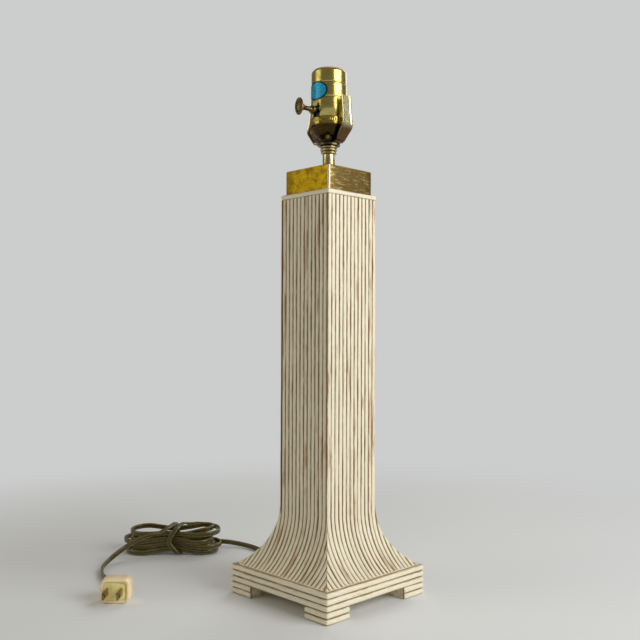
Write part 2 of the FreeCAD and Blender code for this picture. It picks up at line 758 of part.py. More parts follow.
os.makedirs("parts", exist_ok=True)
plinth()
column_box()
reeded_sides()
top_band()
brass_cap()
pipe_and_fittings()
harp_saddle()
socket_cup()
socket_shell()
switch_body()
turn_key()
save("cord_riser", [rod(cord_radius, bushing_base, cup_ledge)])
cord()
plug()
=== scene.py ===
import math

import bmesh
import bpy
import numpy as np
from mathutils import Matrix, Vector


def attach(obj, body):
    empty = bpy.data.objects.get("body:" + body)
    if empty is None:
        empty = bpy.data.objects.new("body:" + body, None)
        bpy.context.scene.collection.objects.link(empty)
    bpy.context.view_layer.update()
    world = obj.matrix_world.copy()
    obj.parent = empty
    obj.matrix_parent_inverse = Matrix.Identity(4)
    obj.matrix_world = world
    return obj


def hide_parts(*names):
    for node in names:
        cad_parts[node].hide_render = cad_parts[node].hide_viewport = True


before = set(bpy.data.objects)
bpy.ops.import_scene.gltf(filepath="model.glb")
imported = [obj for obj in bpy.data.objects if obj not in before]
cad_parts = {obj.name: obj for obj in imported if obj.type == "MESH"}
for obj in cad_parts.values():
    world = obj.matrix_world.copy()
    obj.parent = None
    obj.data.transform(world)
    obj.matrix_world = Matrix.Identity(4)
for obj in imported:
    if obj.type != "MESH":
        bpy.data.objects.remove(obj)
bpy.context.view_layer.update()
print("frame loaded with", len(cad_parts), "nodes")

# Points are in millimetres here, and a mesh is scaled to metres as it is made.
toMetres = 0.001
lampBody = "lamp_base"
knobBody = "switch_knob"


def smoothStep(x):
    # 3x^2 - 2x^3 between 0 and 1
    x = np.clip(x, 0.0, 1.0)
    return x * x * (3 - 2 * x)


def fullTurn(count):
    # Angles evenly spaced round a full turn, the last one a step short of the first.
    return np.linspace(0, 2 * math.pi, count, endpoint=False)


def columns(*parts):
    # Coordinates stretched to a common shape and set side by side on a last axis.
    return np.stack(np.broadcast_arrays(*parts), -1)


def unit(vectors):
    return vectors / np.linalg.norm(vectors, axis=1, keepdims=True)


def runLengths(line):
    # How far along the line each of its points lies.
    return np.concatenate([[0], np.cumsum(np.linalg.norm(np.diff(line, axis=0), axis=1))])


def evenly(line, spacing):
    # The line sampled again at equal lengths, with each sample's distance along it.
    far = runLengths(line)
    wanted = np.linspace(0, far[-1], max(2, int(far[-1] / spacing)))
    return np.stack([np.interp(wanted, far, column) for column in line.T], -1), wanted


def quarterTurns(points, quarter):
    # The same points turned by that many quarters about Z.
    c, s = (1, 0, -1, 0)[quarter], (0, 1, 0, -1)[quarter]
    x, y = points[..., 0], points[..., 1]
    return np.stack([x * c - y * s, x * s + y * c, *np.moveaxis(points[..., 2:], -1, 0)], -1)


def grid(points, closeAcross=False, closeAlong=False, fanStart=False, fanEnd=False, keep=None, **values):
    # One surface: points has a row for each place along and a column for each place across.
    return dict(points=np.asarray(points, dtype=float), closeAcross=closeAcross, closeAlong=closeAlong,
                fanStart=fanStart, fanEnd=fanEnd, keep=keep, values=values)


def solid(points, **values):
    # A surface closed all round, with a fan over each end.
    return grid(points, closeAcross=True, fanStart=True, fanEnd=True, **values)


def newObject(name, data):
    made = bpy.data.objects.new(name, data)
    bpy.context.scene.collection.objects.link(made)
    return made


def buildPiece(name, grids, sharpAngle):
    # Joins the surfaces into one mesh: quads between neighbouring rows and columns, a fan of triangles
    # to the mean point of an end row, and one point attribute for each named value.
    verts, faces, attributes, base = [], [], {}, 0
    names = sorted({key for g in grids for key in g["values"]})
    for g in grids:
        rows, cols = g["points"].shape[:2]
        i, j = np.meshgrid(np.arange(rows if g["closeAlong"] else rows - 1),
                           np.arange(cols if g["closeAcross"] else cols - 1), indexing="ij")
        if g["keep"] is not None:
            i, j = i[g["keep"]], j[g["keep"]]
        nextRow, nextCol = (i + 1) % rows, (j + 1) % cols
        quads = np.stack([i * cols + j, i * cols + nextCol, nextRow * cols + nextCol, nextRow * cols + j], -1)
        faces += (quads.reshape(-1, 4) + base).tolist()
        chunk = [g["points"].reshape(-1, 3)]
        ends = [row for row, wanted in ((0, g["fanStart"]), (rows - 1, g["fanEnd"])) if wanted]
        for k, row in enumerate(ends):
            ring = base + row * cols + np.arange(cols)
            fan = np.stack([ring, np.roll(ring, -1), np.full(cols, base + rows * cols + k)], -1)
            faces += (fan if g["closeAcross"] else fan[:-1]).tolist()
            chunk.append(g["points"][row].mean(axis=0, keepdims=True))
        verts.append(np.concatenate(chunk))
        for key in names:
            width = (3,) if key == "flow" else ()
            full = np.broadcast_to(g["values"].get(key, 0.0), (rows, cols) + width).astype(float)
            means = [full[row].mean(axis=0).ravel() for row in ends]
            attributes.setdefault(key, []).extend([full.ravel()] + means)
        base += len(verts[-1])
    mesh = bpy.data.meshes.new(name)
    mesh.from_pydata((np.concatenate(verts) * toMetres).tolist(), [], faces)
    for key, parts in attributes.items():
        kind, field = ("FLOAT_VECTOR", "vector") if key == "flow" else ("FLOAT", "value")
        mesh.attributes.new(key, kind, "POINT").data.foreach_set(field, np.concatenate(parts))
    edited = bmesh.new()
    edited.from_mesh(mesh)
    bmesh.ops.recalc_face_normals(edited, faces=edited.faces)
    edited.to_mesh(mesh)
    edited.free()
    mesh.polygons.foreach_set("use_smooth", np.ones(len(mesh.polygons), dtype=bool))
    mesh.set_sharp_from_angle(angle=math.radians(sharpAngle))
    return newObject(name, mesh)


def settle(piece, material, slotName, *nodes, body=lampBody):
    # The piece gets its material, rides on its body and stands for its CAD nodes.
    piece.data.materials.append(material)
    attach(piece, body)
    if nodes:
        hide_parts(*nodes)
    return piece


def rounded(corners, steps, closed=False):
    # A flat outline through (x, y, radius) corners, each of them an arc that is cut back by its radius, or
    # by 0.45 of a shorter run.
    table = np.array(corners, dtype=float)
    corners, radii = table[:, :2], table[:, 2]
    count, points, t = len(corners), [], np.linspace(0, 1, steps + 1)[:, None]
    for k, corner in enumerate(corners):
        if not closed and k in (0, count - 1):
            points.append([corner])
            continue
        before, after = corners[k - 1], corners[(k + 1) % count]
        runIn, runOut = np.linalg.norm(corner - before), np.linalg.norm(after - corner)
        cut = min(radii[k], 0.45 * runIn, 0.45 * runOut)
        start = corner + (before - corner) / runIn * cut
        end = corner + (after - corner) / runOut * cut
        points.append((1 - t) ** 2 * start + 2 * t * (1 - t) * corner + t ** 2 * end)
    return np.concatenate(points)


def tubeProfile(inner, outer, low, high, edge, steps):
    # A tube's wall cut through: an upright box with softened corners.
    return rounded([(inner, low, edge), (outer, low, edge), (outer, high, edge), (inner, high, edge)], steps, True)


def turned(profile, around):
    # Each profile point (radius, height) is carried round Z: x = r cos a, y = r sin a.
    r, z, angle = profile[:, 0:1], profile[:, 1:2], fullTurn(around)
    return columns(r * np.cos(angle), r * np.sin(angle), z)


def turnedTube(profile, around):
    return grid(turned(profile, around), closeAcross=True, closeAlong=True)


def squareRing(half, corner, perSide=8):
    # A square with rounded corners, as (x, y): a run along each side and a quarter circle after it.
    run = np.linspace(-1, 1, perSide) * (half - corner)
    bend = np.linspace(-math.pi / 2, 0, 6)[1:-1]
    arc = columns(half - corner + corner * np.cos(bend), corner - half + corner * np.sin(bend))
    side = np.concatenate([columns(run, -half), arc])
    return np.concatenate([quarterTurns(side, quarter) for quarter in range(4)])


def feed(tree, socket, value):
    # A socket takes another node's output, or a value of its own.
    if isinstance(value, bpy.types.NodeSocket):
        tree.links.new(value, socket)
    else:
        socket.default_value = (*value, 1.0) if socket.type == "RGBA" else value


def newNode(tree, kind, **settings):
    # A setting belongs to a socket, named by its label with _ for a space, or else to the node itself.
    made = tree.nodes.new("ShaderNode" + kind)
    for key, value in settings.items():
        label = key.replace("_", " ")
        if label in made.inputs:
            feed(tree, made.inputs[label], value)
        else:
            setattr(made, key, value)
    return made


def noise(tree, place, scale, detail=3.0, roughness=0.55):
    return newNode(tree, "TexNoise", Vector=place, Scale=scale, Detail=detail, Roughness=roughness).outputs["Fac"]


def stretched(tree, place, scale):
    return newNode(tree, "Mapping", Vector=place, Scale=scale).outputs["Vector"]


def spread(tree, value, low, high):
    # A smooth step from 0 at low to 1 at high.
    return newNode(tree, "MapRange", interpolation_type="SMOOTHSTEP", Value=value, From_Min=low,
                   From_Max=high).outputs["Result"]


def maths(tree, operation, first, second=0.5):
    made = newNode(tree, "Math", operation=operation)
    feed(tree, made.inputs[0], first)
    feed(tree, made.inputs[1], second)
    return made.outputs[0]


def plus(tree, first, second):
    return maths(tree, "ADD", first, second)


def times(tree, first, second):
    return maths(tree, "MULTIPLY", first, second)


def swing(tree, value, share):
    # A value between 0 and 1 centred on zero and scaled by the share.
    return times(tree, maths(tree, "SUBTRACT", value, 0.5), share)


def blendColours(tree, share, first, second):
    made = newNode(tree, "Mix", data_type="RGBA", Factor=share)
    for socket, value in zip([s for s in made.inputs if s.type == "RGBA"], (first, second)):
        feed(tree, socket, value)
    return next(s for s in made.outputs if s.type == "RGBA")


def ownPlace(tree):
    return newNode(tree, "TexCoord").outputs["Object"]


def attribute(tree, name, output="Fac"):
    return newNode(tree, "Attribute", attribute_name=name).outputs[output]


def linear(red, green, blue):
    # The colour as it looks on screen, turned to the shader's own scale.
    return tuple((c / 255 / 12.92) if c <= 10 else ((c / 255 + 0.055) / 1.055) ** 2.4 for c in (red, green, blue))


def newGroup(name, given, sent):
    # An input without a default is a vector; the other inputs and the outputs are numbers.
    tree = bpy.data.node_groups.new(name, "ShaderNodeTree")
    for label, default in given.items():
        kind = "NodeSocketVector" if default is None else "NodeSocketFloat"
        made = tree.interface.new_socket(name=label, in_out="INPUT", socket_type=kind)
        if default is not None:
            made.default_value = default
    for label in sent:
        tree.interface.new_socket(name=label, in_out="OUTPUT", socket_type="NodeSocketFloat")
    return tree, tree.nodes.new("NodeGroupInput").outputs, tree.nodes.new("NodeGroupOutput").inputs


# How fine each grain is across a reed, along it and from reed to reed, and where each layer starts and is full.
caneGrain = {"fine": (2.6, 0.16, 1.0), "broad": (0.35, 0.028, 1.0), "specks": (2.2, 1.3, 1.0),
             "dirt": (0.66, 0.78), "glazeAndShade": (0.1, 0.56), "stain": (0.84, 1.02)}
filmSteps = {"clouds": (0.38, 0.66), "pits": (0.64, 0.72), "dents": (0.6, 0.72)}


def makeCaneGroup(look):
    # Streaks that run along a reed, patches of stain, and a glaze with specks that gathers in its grooves, spread up
    # the flanks as painted shade.
    tree, given, sent = newGroup("caneGrain", {"Flow": None, "Groove": 0.0, "Tone": 0.5},
                                 ("Streaks", "GlazeAndShade", "Stain", "Height"))
    fine = noise(tree, stretched(tree, given["Flow"], look["fine"]), 1.0, 5.0, 0.6)
    broad = noise(tree, stretched(tree, given["Flow"], look["broad"]), 1.0, 3.0)
    specks = noise(tree, stretched(tree, given["Flow"], look["specks"]), 1.0, 4.0, 0.7)
    # The glaze mask reaches far up each reed's flanks: real glaze in the groove, widened as painted shade.
    edge = plus(tree, plus(tree, given["Groove"], swing(tree, broad, 0.9)), swing(tree, fine, 0.5))
    dirt = spread(tree, plus(tree, specks, times(tree, given["Groove"], 0.12)), *look["dirt"])
    patch = plus(tree, broad, times(tree, given["Tone"], 0.42))
    feed(tree, sent["GlazeAndShade"], maths(tree, "MAXIMUM", spread(tree, edge, *look["glazeAndShade"]), times(tree, dirt, 0.75)))
    feed(tree, sent["Stain"], spread(tree, patch, *look["stain"]))
    feed(tree, sent["Streaks"], fine)
    feed(tree, sent["Height"], plus(tree, times(tree, fine, 0.6), times(tree, specks, 0.4)))
    return tree


def makeTarnishGroup(look):
    # Cloudy tarnish, brushed lines along one direction and small dark pits.
    tree, given, sent = newGroup("tarnish", {"Place": None, "Scale": 200.0, "Lines": None, "Cover": 0.5},
                                 ("Clouds", "Brushed", "Pits", "Height"))
    scaled, combed = [newNode(tree, "VectorMath", operation=kind) for kind in ("SCALE", "MULTIPLY")]
    feed(tree, scaled.inputs[0], given["Place"])
    feed(tree, scaled.inputs["Scale"], given["Scale"])
    feed(tree, combed.inputs[0], given["Place"])
    feed(tree, combed.inputs[1], given["Lines"])
    clouds = plus(tree, noise(tree, scaled.outputs[0], 1.0, 5.0, 0.62), swing(tree, given["Cover"], 0.5))
    brushed = noise(tree, combed.outputs[0], 1.0, 4.0, 0.65)
    pits = noise(tree, scaled.outputs[0], 7.0, 2.0, 0.5)
    dents = times(tree, spread(tree, pits, *look["dents"]), 0.8)
    feed(tree, sent["Clouds"], spread(tree, clouds, *look["clouds"]))
    feed(tree, sent["Brushed"], brushed)
    feed(tree, sent["Pits"], spread(tree, pits, *look["pits"]))
    feed(tree, sent["Height"], maths(tree, "SUBTRACT", brushed, dents))
    return tree


caneGroup = makeCaneGroup(caneGrain)
tarnishGroup = makeTarnishGroup(filmSteps)


def placeGroup(tree, group, **settings):
    made = newNode(tree, "Group", node_tree=group)
    for label, value in settings.items():
        feed(tree, made.inputs[label], value)
    return made.outputs


def startMaterial(name, **settings):
    # A Principled material with its uniform values set on the shader's own sockets.
    material = bpy.data.materials.new(name)
    material.use_nodes = True
    shader = material.node_tree.nodes["Principled BSDF"]
    for key, value in settings.items():
        shader.inputs[key.replace("_", " ")].default_value = value
    return material, material.node_tree, shader.inputs


def roughen(tree, sockets, mask, low, high):
    # Roughness goes from low to high as the mask rises.
    feed(tree, sockets["Roughness"], newNode(tree, "MapRange", Value=mask, To_Min=low, To_Max=high).outputs["Result"])


def bump(tree, sockets, height, strength, depth):
    made = newNode(tree, "Bump", Height=height, Strength=strength, Distance=depth)
    feed(tree, sockets["Normal"], made.outputs["Normal"])


def caneMaterial(name, look):
    # Ivory paint over cane, with a brown glaze left in the grooves that also paints the shade in them.
    material, tree, sockets = startMaterial(name)
    grain = placeGroup(tree, caneGroup, Flow=attribute(tree, "flow", "Vector"), Groove=attribute(tree, "groove"),
                       Tone=attribute(tree, "tone"))
    colour = blendColours(tree, spread(tree, grain["Streaks"], 0.3, 0.7), look["paint"], look["paintShade"])
    colour = blendColours(tree, times(tree, grain["Stain"], look["stainShare"]), colour, look["stain"])
    colour = blendColours(tree, times(tree, grain["GlazeAndShade"], look["glazeAndShadeShare"]), colour, look["glazeAndShade"])
    feed(tree, sockets["Base Color"], colour)
    roughen(tree, sockets, grain["GlazeAndShade"], look["rough"], look["rough"] + 0.2)
    bump(tree, sockets, grain["Height"], look["bump"], 0.0004)
    return material


# The glaze colours are a brown glaze dark enough to stand for the grooves' shade too.
caneLook = {"paint": linear(248, 241, 219), "paintShade": linear(237, 225, 193), "stain": linear(184, 136, 92),
            "glazeAndShade": linear(130, 98, 52), "stainShare": 0.55, "glazeAndShadeShare": 0.95, "rough": 0.42, "bump": 0.35}
mouldingLook = {"paint": linear(248, 241, 220), "paintShade": linear(238, 227, 196), "stain": linear(208, 178, 134),
                "glazeAndShade": linear(140, 110, 66), "stainShare": 0.5, "glazeAndShadeShare": 0.9, "rough": 0.4, "bump": 0.3}
canePaint = caneMaterial("canePaint", caneLook)
mouldingPaint = caneMaterial("mouldingPaint", mouldingLook)


def brassMaterial(name, look):
    # Brass under clouds of tarnish, with brushed lines and dark pits.
    material, tree, sockets = startMaterial(name, Metallic=1.0)
    place = ownPlace(tree)
    film = placeGroup(tree, tarnishGroup, Place=place, Scale=look["scale"], Lines=look["lines"],
                      Cover=look["cover"])
    colour = blendColours(tree, spread(tree, film["Brushed"], 0.3, 0.7), look["metal"], look["metalShade"])
    colour = blendColours(tree, times(tree, film["Clouds"], look["cloudShare"]), colour, look["tarnish"])
    # Each darkened part is a stretch of one axis in metres, from low (the plain metal) to high (the darker colour).
    axes = newNode(tree, "SeparateXYZ", Vector=place).outputs
    for axis, low, high in look["darkened"]:
        darkened = blendColours(tree, spread(tree, film["Brushed"], 0.52, 0.64), look["darkenedMetal"], look["darkenedStreak"])
        colour = blendColours(tree, times(tree, spread(tree, axes[axis], low, high), look["darkenedShare"]), colour, darkened)
    # Upright corners get a painted near-white highlight where |x| + |y| is largest.
    if "highlightFrom" in look:
        corner = plus(tree, *[maths(tree, "ABSOLUTE", axes[axis]) for axis in "XY"])
        cornerHighlight = spread(tree, corner, look["highlightFrom"], look["highlightFrom"] + 0.0006)
        colour = blendColours(tree, cornerHighlight, colour, look["highlightMetal"])
    colour = blendColours(tree, times(tree, film["Pits"], look["pitShare"]), colour, look["pit"])
    feed(tree, sockets["Base Color"], colour)
    roughen(tree, sockets, film["Clouds"], look["rough"], look["roughTarnish"])
    bump(tree, sockets, film["Height"], look["bump"], 0.0002)
    return material


# The cap's +X and +Y faces are given a darker brown with pale streaks.
capLook = {"metal": linear(184, 154, 28), "metalShade": linear(160, 130, 18), "tarnish": linear(124, 100, 20),
           "pit": linear(46, 36, 20), "scale": 160.0, "lines": (100.0, 100.0, 700.0), "cover": 0.42,
           "cloudShare": 0.7, "pitShare": 0.7, "rough": 0.3, "roughTarnish": 0.5, "bump": 0.3, "darkenedShare": 0.92,
           "darkenedMetal": linear(104, 86, 50), "darkenedStreak": linear(164, 146, 102),
           "darkened": (("X", 0.0279, 0.0285), ("Y", 0.0279, 0.0285)),
           # The corners' near-white is a painted highlight.
           "highlightFrom": 0.0552, "highlightMetal": linear(253, 248, 230)}
shellLook = {"metal": linear(206, 194, 118), "metalShade": linear(184, 168, 94), "tarnish": linear(146, 126, 60),
             "pit": linear(84, 66, 28), "scale": 120.0, "lines": (60.0, 60.0, 900.0), "cover": 0.35,
             "cloudShare": 0.6, "pitShare": 0.4, "rough": 0.22, "roughTarnish": 0.34, "bump": 0.12, "darkened": ()}
# The cup and the saddle turn dark brown towards their feet; on the cup's bowl it is a painted dark reflection and
# shade.
darkenedLook = dict(shellLook, rough=0.2, darkenedShare=0.95, darkenedStreak=linear(90, 72, 36))
# Below the ledge the cup's bowl is near-black brown: a painted dark reflection of the column under it.
cupLook = dict(darkenedLook, metal=linear(190, 172, 88), metalShade=linear(162, 142, 66), cover=0.45,
               darkenedMetal=linear(46, 30, 12), darkened=(("Z", 0.4345, 0.4325),))
saddleLook = dict(darkenedLook, metal=linear(236, 230, 190), metalShade=linear(218, 208, 156), cover=0.3,
                  darkenedMetal=linear(86, 58, 20), darkened=(("Z", 0.436, 0.428),))
neckLook = dict(shellLook, metal=linear(220, 210, 168), metalShade=linear(192, 176, 126),
                tarnish=linear(112, 94, 56), cover=0.5, rough=0.25, roughTarnish=0.42)
keyLook = dict(shellLook, metal=linear(138, 122, 84), metalShade=linear(104, 90, 56), tarnish=linear(60, 48, 26),
               cover=0.5, rough=0.26, roughTarnish=0.42)
bladeLook = dict(shellLook, metal=linear(150, 134, 74), metalShade=linear(118, 102, 52), cover=0.3,
                 tarnish=linear(90, 76, 38), rough=0.16)
# Far darker than bare steel: painted shade for fittings that sit under the saddle and inside the lamp.
shadedSteelLook = dict(shellLook, metal=linear(104, 96, 80), metalShade=linear(78, 70, 56),
                 tarnish=linear(50, 42, 30), rough=0.34, roughTarnish=0.5)
capBrass = brassMaterial("capBrass", capLook)
shellBrass = brassMaterial("shellBrass", shellLook)
cupBrass = brassMaterial("cupBrass", cupLook)
saddleBrass = brassMaterial("saddleBrass", saddleLook)
neckBrass = brassMaterial("neckBrass", neckLook)
keyBronze = brassMaterial("keyBronze", keyLook)
bladeBrass = brassMaterial("bladeBrass", bladeLook)
shadedSteel = brassMaterial("shadedSteel", shadedSteelLook)


def plainMaterial(name, look, **settings):
    # Two near colours mixed by clouds in the object's own space, with a fine grain in the surface.
    material, tree, sockets = startMaterial(name, **settings)
    place = stretched(tree, ownPlace(tree), look.get("stretch", (1.0, 1.0, 1.0)))
    clouds = spread(tree, noise(tree, place, look["scale"], 4.0), 0.32, 0.68)
    grain = noise(tree, place, look["scale"] * 6, 3.0)
    feed(tree, sockets["Base Color"], blendColours(tree, clouds, look["first"], look["second"]))
    roughen(tree, sockets, grain, look["rough"], look["rough"] + 0.15)
    bump(tree, sockets, grain, look["bump"], 0.0003)
    return material


boardPaintLook = {"first": linear(240, 230, 204), "second": linear(212, 190, 150), "scale": 140.0, "rough": 0.5,
                  "bump": 0.3}
grooveBrownLook = {"first": linear(112, 84, 50), "second": linear(84, 60, 34), "scale": 120.0,
                   "stretch": (1.0, 1.0, 0.2), "rough": 0.7, "bump": 0.3}
cardLook = {"first": linear(206, 170, 134), "second": linear(182, 142, 106), "scale": 400.0, "rough": 0.8,
            "bump": 0.4}
mouldingBlackLook = {"first": linear(34, 30, 27), "second": linear(22, 19, 17), "scale": 300.0, "rough": 0.4,
                     "bump": 0.2}
boardPaint = plainMaterial("boardPaint", boardPaintLook)
grooveBrown = plainMaterial("grooveBrown", grooveBrownLook)
pressedCard = plainMaterial("pressedCard", cardLook)
blackMoulding = plainMaterial("blackMoulding", mouldingBlackLook)
print("materials made:", len(bpy.data.materials))


# The camera stands level with the column's middle, on its corner, as in the photograph.
cameraLook = {"distance": 0.768, "height": 0.241, "azimuth": 45.0, "yaw": 0.0099, "pitch": 0.0157, "roll": 0.0038,
              "lens": 46.31, "sensor": 36.0}


def placeCamera(look):
    data = bpy.data.cameras.new("camera")
    data.lens, data.sensor_width, data.clip_start = look["lens"], look["sensor"], 0.01
    camera = newObject("camera", data)
    turn = math.radians(look["azimuth"])
    away = np.array([-math.sin(turn), math.cos(turn)])
    heading, pitch, roll = math.atan2(away[1], away[0]) + look["yaw"], look["pitch"], look["roll"]
    ahead = np.array([math.cos(heading) * math.cos(pitch), math.sin(heading) * math.cos(pitch), math.sin(pitch)])
    right = np.cross(ahead, (0, 0, 1))
    right /= np.linalg.norm(right)
    up = np.cross(right, ahead)
    right, up = right * math.cos(roll) + up * math.sin(roll), up * math.cos(roll) - right * math.sin(roll)
    for column, axis in enumerate((right, up, -ahead)):
        for row in range(3):
            camera.matrix_world[row][column] = axis[row]
    camera.matrix_world.translation = (*(-away * look["distance"]), look["height"])
    bpy.context.scene.camera = camera


placeCamera(cameraLook)


# The cord: a flat twin lead that leaves the bushing under the plinth, lies in a tied hank and ends in the plug.
# The lead's own points are in the frame's directions; all others are in the hank's.
cordRoute = {
    "lead": [(0, 0, 13.4), (0, 0, 7.4), (-3.9, 0.8, 3.4), (-11, 2.3, 2.8), (-24, 5.2, 2.8), (-45, 11, 2.8),
             (-78, 24, 2.8), (-112, 39, 2.8)],
    "leadByHank": [(94, 0.7, 2.8), (76, 17.5, 3.4), (50, 21.7, 6.4)],
    "wrap": [(17, 17.5, 26.0), (10, 13, 28.2), (7.5, 5, 28.6), (7, -6, 28.6), (6, -14.5, 28.0), (3, -19.5, 24.5),
             (-0.5, -20.5, 18.5), (-1.0, -20.5, 13.5), (3, -20, 7.5), (8, -18.5, 3.0), (9.5, -11, 1.6), (8, 0, 1.6),
             (5, 12, 1.7), (2.5, 18.5, 3.2), (1.2, 20.5, 9), (1.0, 20.5, 18), (0.6, 18.8, 25.5), (0, 12, 28.4),
             (-0.8, 2, 28.8), (-2.2, -8, 28.8), (-5, -15.5, 27.8), (-9.5, -21.5, 25.5)],
    "tail": [(-24, -29, 23.5), (-38, -33, 17), (-50, -41, 9.5), (-57, -54, 4.2), (-58.5, -74, 2.8), (-53, -94, 2.8),
             (-45, -113, 3.2), (-31, -131, 7), (-19, -142, 10.8), (-19, -151.5, 10.8)],
    "wide": 5.3, "thick": 2.7, "flatness": 0.75, "valleyDepth": 0.42, "valleyHalf": 0.55, "length": 1.97,
    "spacing": 1.3,
}
hankPlace = {"x": -220.0, "y": -20.0, "turn": 45.0}
hankShape = {"perLoop": 16, "perLayer": 1.5, "layers": 4, "innerRadius": 13.0, "innerWaist": 6.0, "step": 5.6,
             "lay": 5.4, "low": 6.4, "halfLength": 51.4, "fullness": 1.03, "uneven": 1.2, "freeEnd": 34.0,
             "sag": 3.2, "ear": 7.0, "shift": 2.6, "twist": 0.05}


def fromHank(points, place=hankPlace):
    # From the hank's own directions, along it and away from the camera, to the frame's.
    u, v, z = np.asarray(points, dtype=float).reshape(-1, 3).T
    c, s = math.cos(math.radians(place["turn"])), math.sin(math.radians(place["turn"]))
    return np.stack([place["x"] + u * c - v * s, place["y"] + u * s + v * c, z], -1)


def hankLoops(perLoop, perLayer, layers, innerRadius, innerWaist, step, lay, low, halfLength, fullness, uneven,
              freeEnd, sag, ear, shift, twist):
    # Each loop is two half rounds joined by runs that draw in to the waist; a loop's size goes in and out
    # with the turns, and it rises a layer where that reverses.
    count = np.arange(round(layers * perLayer * perLoop) + 1)
    turns = count / perLoop
    layer = np.minimum((turns / perLayer + 1e-6).astype(int), layers - 1)
    done = turns - layer * perLayer
    level = np.maximum(layer - 1 + np.where(layer > 0, smoothStep(done * 3), 1.0), 0)
    share = np.maximum(0, done - 1 / 3) / (perLayer - 1 / 3)
    grown = np.where(layer % 2 == 1, share, 1 - share) * perLayer * step
    lobe = (innerRadius + grown) * fullness
    waist = innerWaist + grown
    reach = halfLength - innerRadius - perLayer * step
    # Places round a loop: a share of the reach and of the lobe along, and of the lobe and of the waist aside.
    bend = math.sqrt(0.5)
    table = np.array([
        [1.0, 0, 1, 0], [0.52, 0, 0.42, 0.58], [0, 0, 0, 1], [-0.52, 0, 0.42, 0.58], [-1.0, 0, 1, 0],
        [-1.0, -bend, bend, 0], [-1.0, -1, 0, 0], [-1.0, -bend, -bend, 0], [-1.0, 0, -1, 0],
        [-0.52, 0, -0.42, -0.58], [0, 0, 0, -1], [0.52, 0, -0.42, -0.58], [1.0, 0, -1, 0],
        [1.0, bend, -bend, 0], [1.0, 1, 0, 0], [1.0, bend, bend, 0],
    ])[count % perLoop]
    # The waves' rates and phases are arbitrary: they only make the turns differ.
    right = reach + uneven * np.sin(1.9 * level + 0.6)
    left = reach + uneven * np.sin(2.3 * level + 2.0)
    u = table[:, 0] * np.where(table[:, 0] < 0, left, right) + table[:, 1] * lobe
    v = table[:, 2] * lobe + table[:, 3] * waist
    # Layers slide and turn a little on each other; the ends sag to the table and the top turns stand up there.
    ends = smoothStep(np.abs(u) / freeEnd)
    slide = shift * np.sin(2.1 * level + 0.4) * ends
    lean = twist * np.sin(1.7 * level + 0.8)
    raised = ear * smoothStep(level - 2) * ends * (0.75 + 0.35 * np.sin(4.2 * turns))
    return np.stack([u + slide - v * lean, v + u * lean, low + lay * level - sag * ends + raised], -1)


def splineLine(points, name):
    # A smooth line drawn by its control points, read back as points a millimetre or two apart.
    data = bpy.data.curves.new(name, "CURVE")
    data.dimensions = "3D"
    data.resolution_u = 10
    spline = data.splines.new("NURBS")
    spline.points.add(len(points) - 1)
    spline.points.foreach_set("co", np.concatenate([points, np.ones((len(points), 1))], axis=1).ravel())
    spline.order_u = 3
    spline.use_endpoint_u = True
    holder = bpy.data.objects.new(name, data)
    line = bpy.data.meshes.new_from_object(holder)
    found = np.empty(len(line.vertices) * 3)
    line.vertices.foreach_get("co", found)
    bpy.data.objects.remove(holder)
    bpy.data.curves.remove(data)
    bpy.data.meshes.remove(line)
    return found.reshape(-1, 3)


def makeCord(route, hank):
    lead = np.concatenate([np.array(route["lead"], dtype=float), fromHank(route["leadByHank"])])
    loops, wrap, tail = [fromHank(part) for part in (hankLoops(**hank), route["wrap"], route["tail"])]
    points = np.concatenate([lead, loops, wrap, tail])
    # The flat side's upright direction at each control point: up in the lead and the hank, along the
    # hank where the cord goes round its waist.
    upright = np.tile((0, 0, 1.0), (len(points), 1))
    upright[:2] = (0.2, 1.0, 0.0)
    wrapped = len(lead) + len(loops) + np.arange(len(wrap))
    upright[wrapped] = fromHank([(1, 0, 0)])[0] - fromHank([(0, 0, 0)])[0]
    path, far = evenly(splineLine(points, "cordRoute"), route["spacing"])
    # The direction at each sample is read between the control points, at its share of the way along them.
    runs = runLengths(points)
    wide = np.stack([np.interp(far / far[-1] * runs[-1], runs, column) for column in upright.T], -1)
    tangent = unit(np.gradient(path, axis=0))
    for _ in range(4):
        wide[1:-1] = (wide[:-2] + wide[1:-1] * 2 + wide[2:]) / 4
    wide = unit(wide - tangent * (wide * tangent).sum(axis=1, keepdims=True))
    thin = np.cross(tangent, wide)
    # The section is a flattened round, x = w/2 cos a and y = t/2 sgn(sin a)|sin a|^flatness, with a valley
    # between the two wires: y loses depth e^-(x/half)^2 of itself.
    angle = fullTurn(20)
    x = route["wide"] / 2 * np.cos(angle)
    y = route["thick"] / 2 * np.sign(np.sin(angle)) * np.abs(np.sin(angle)) ** route["flatness"]
    y *= 1 - route["valleyDepth"] * np.exp(-(x / route["valleyHalf"]) ** 2)
    tube = path[:, None, :] + wide[:, None, :] * x[None, :, None] + thin[:, None, :] * y[None, :, None]
    surface = solid(tube, flow=columns(x, far[:, None], 0.0), groove=np.exp(-(x / 0.6) ** 2))
    return buildPiece("flatCord", [surface], 60), path, far[-1]


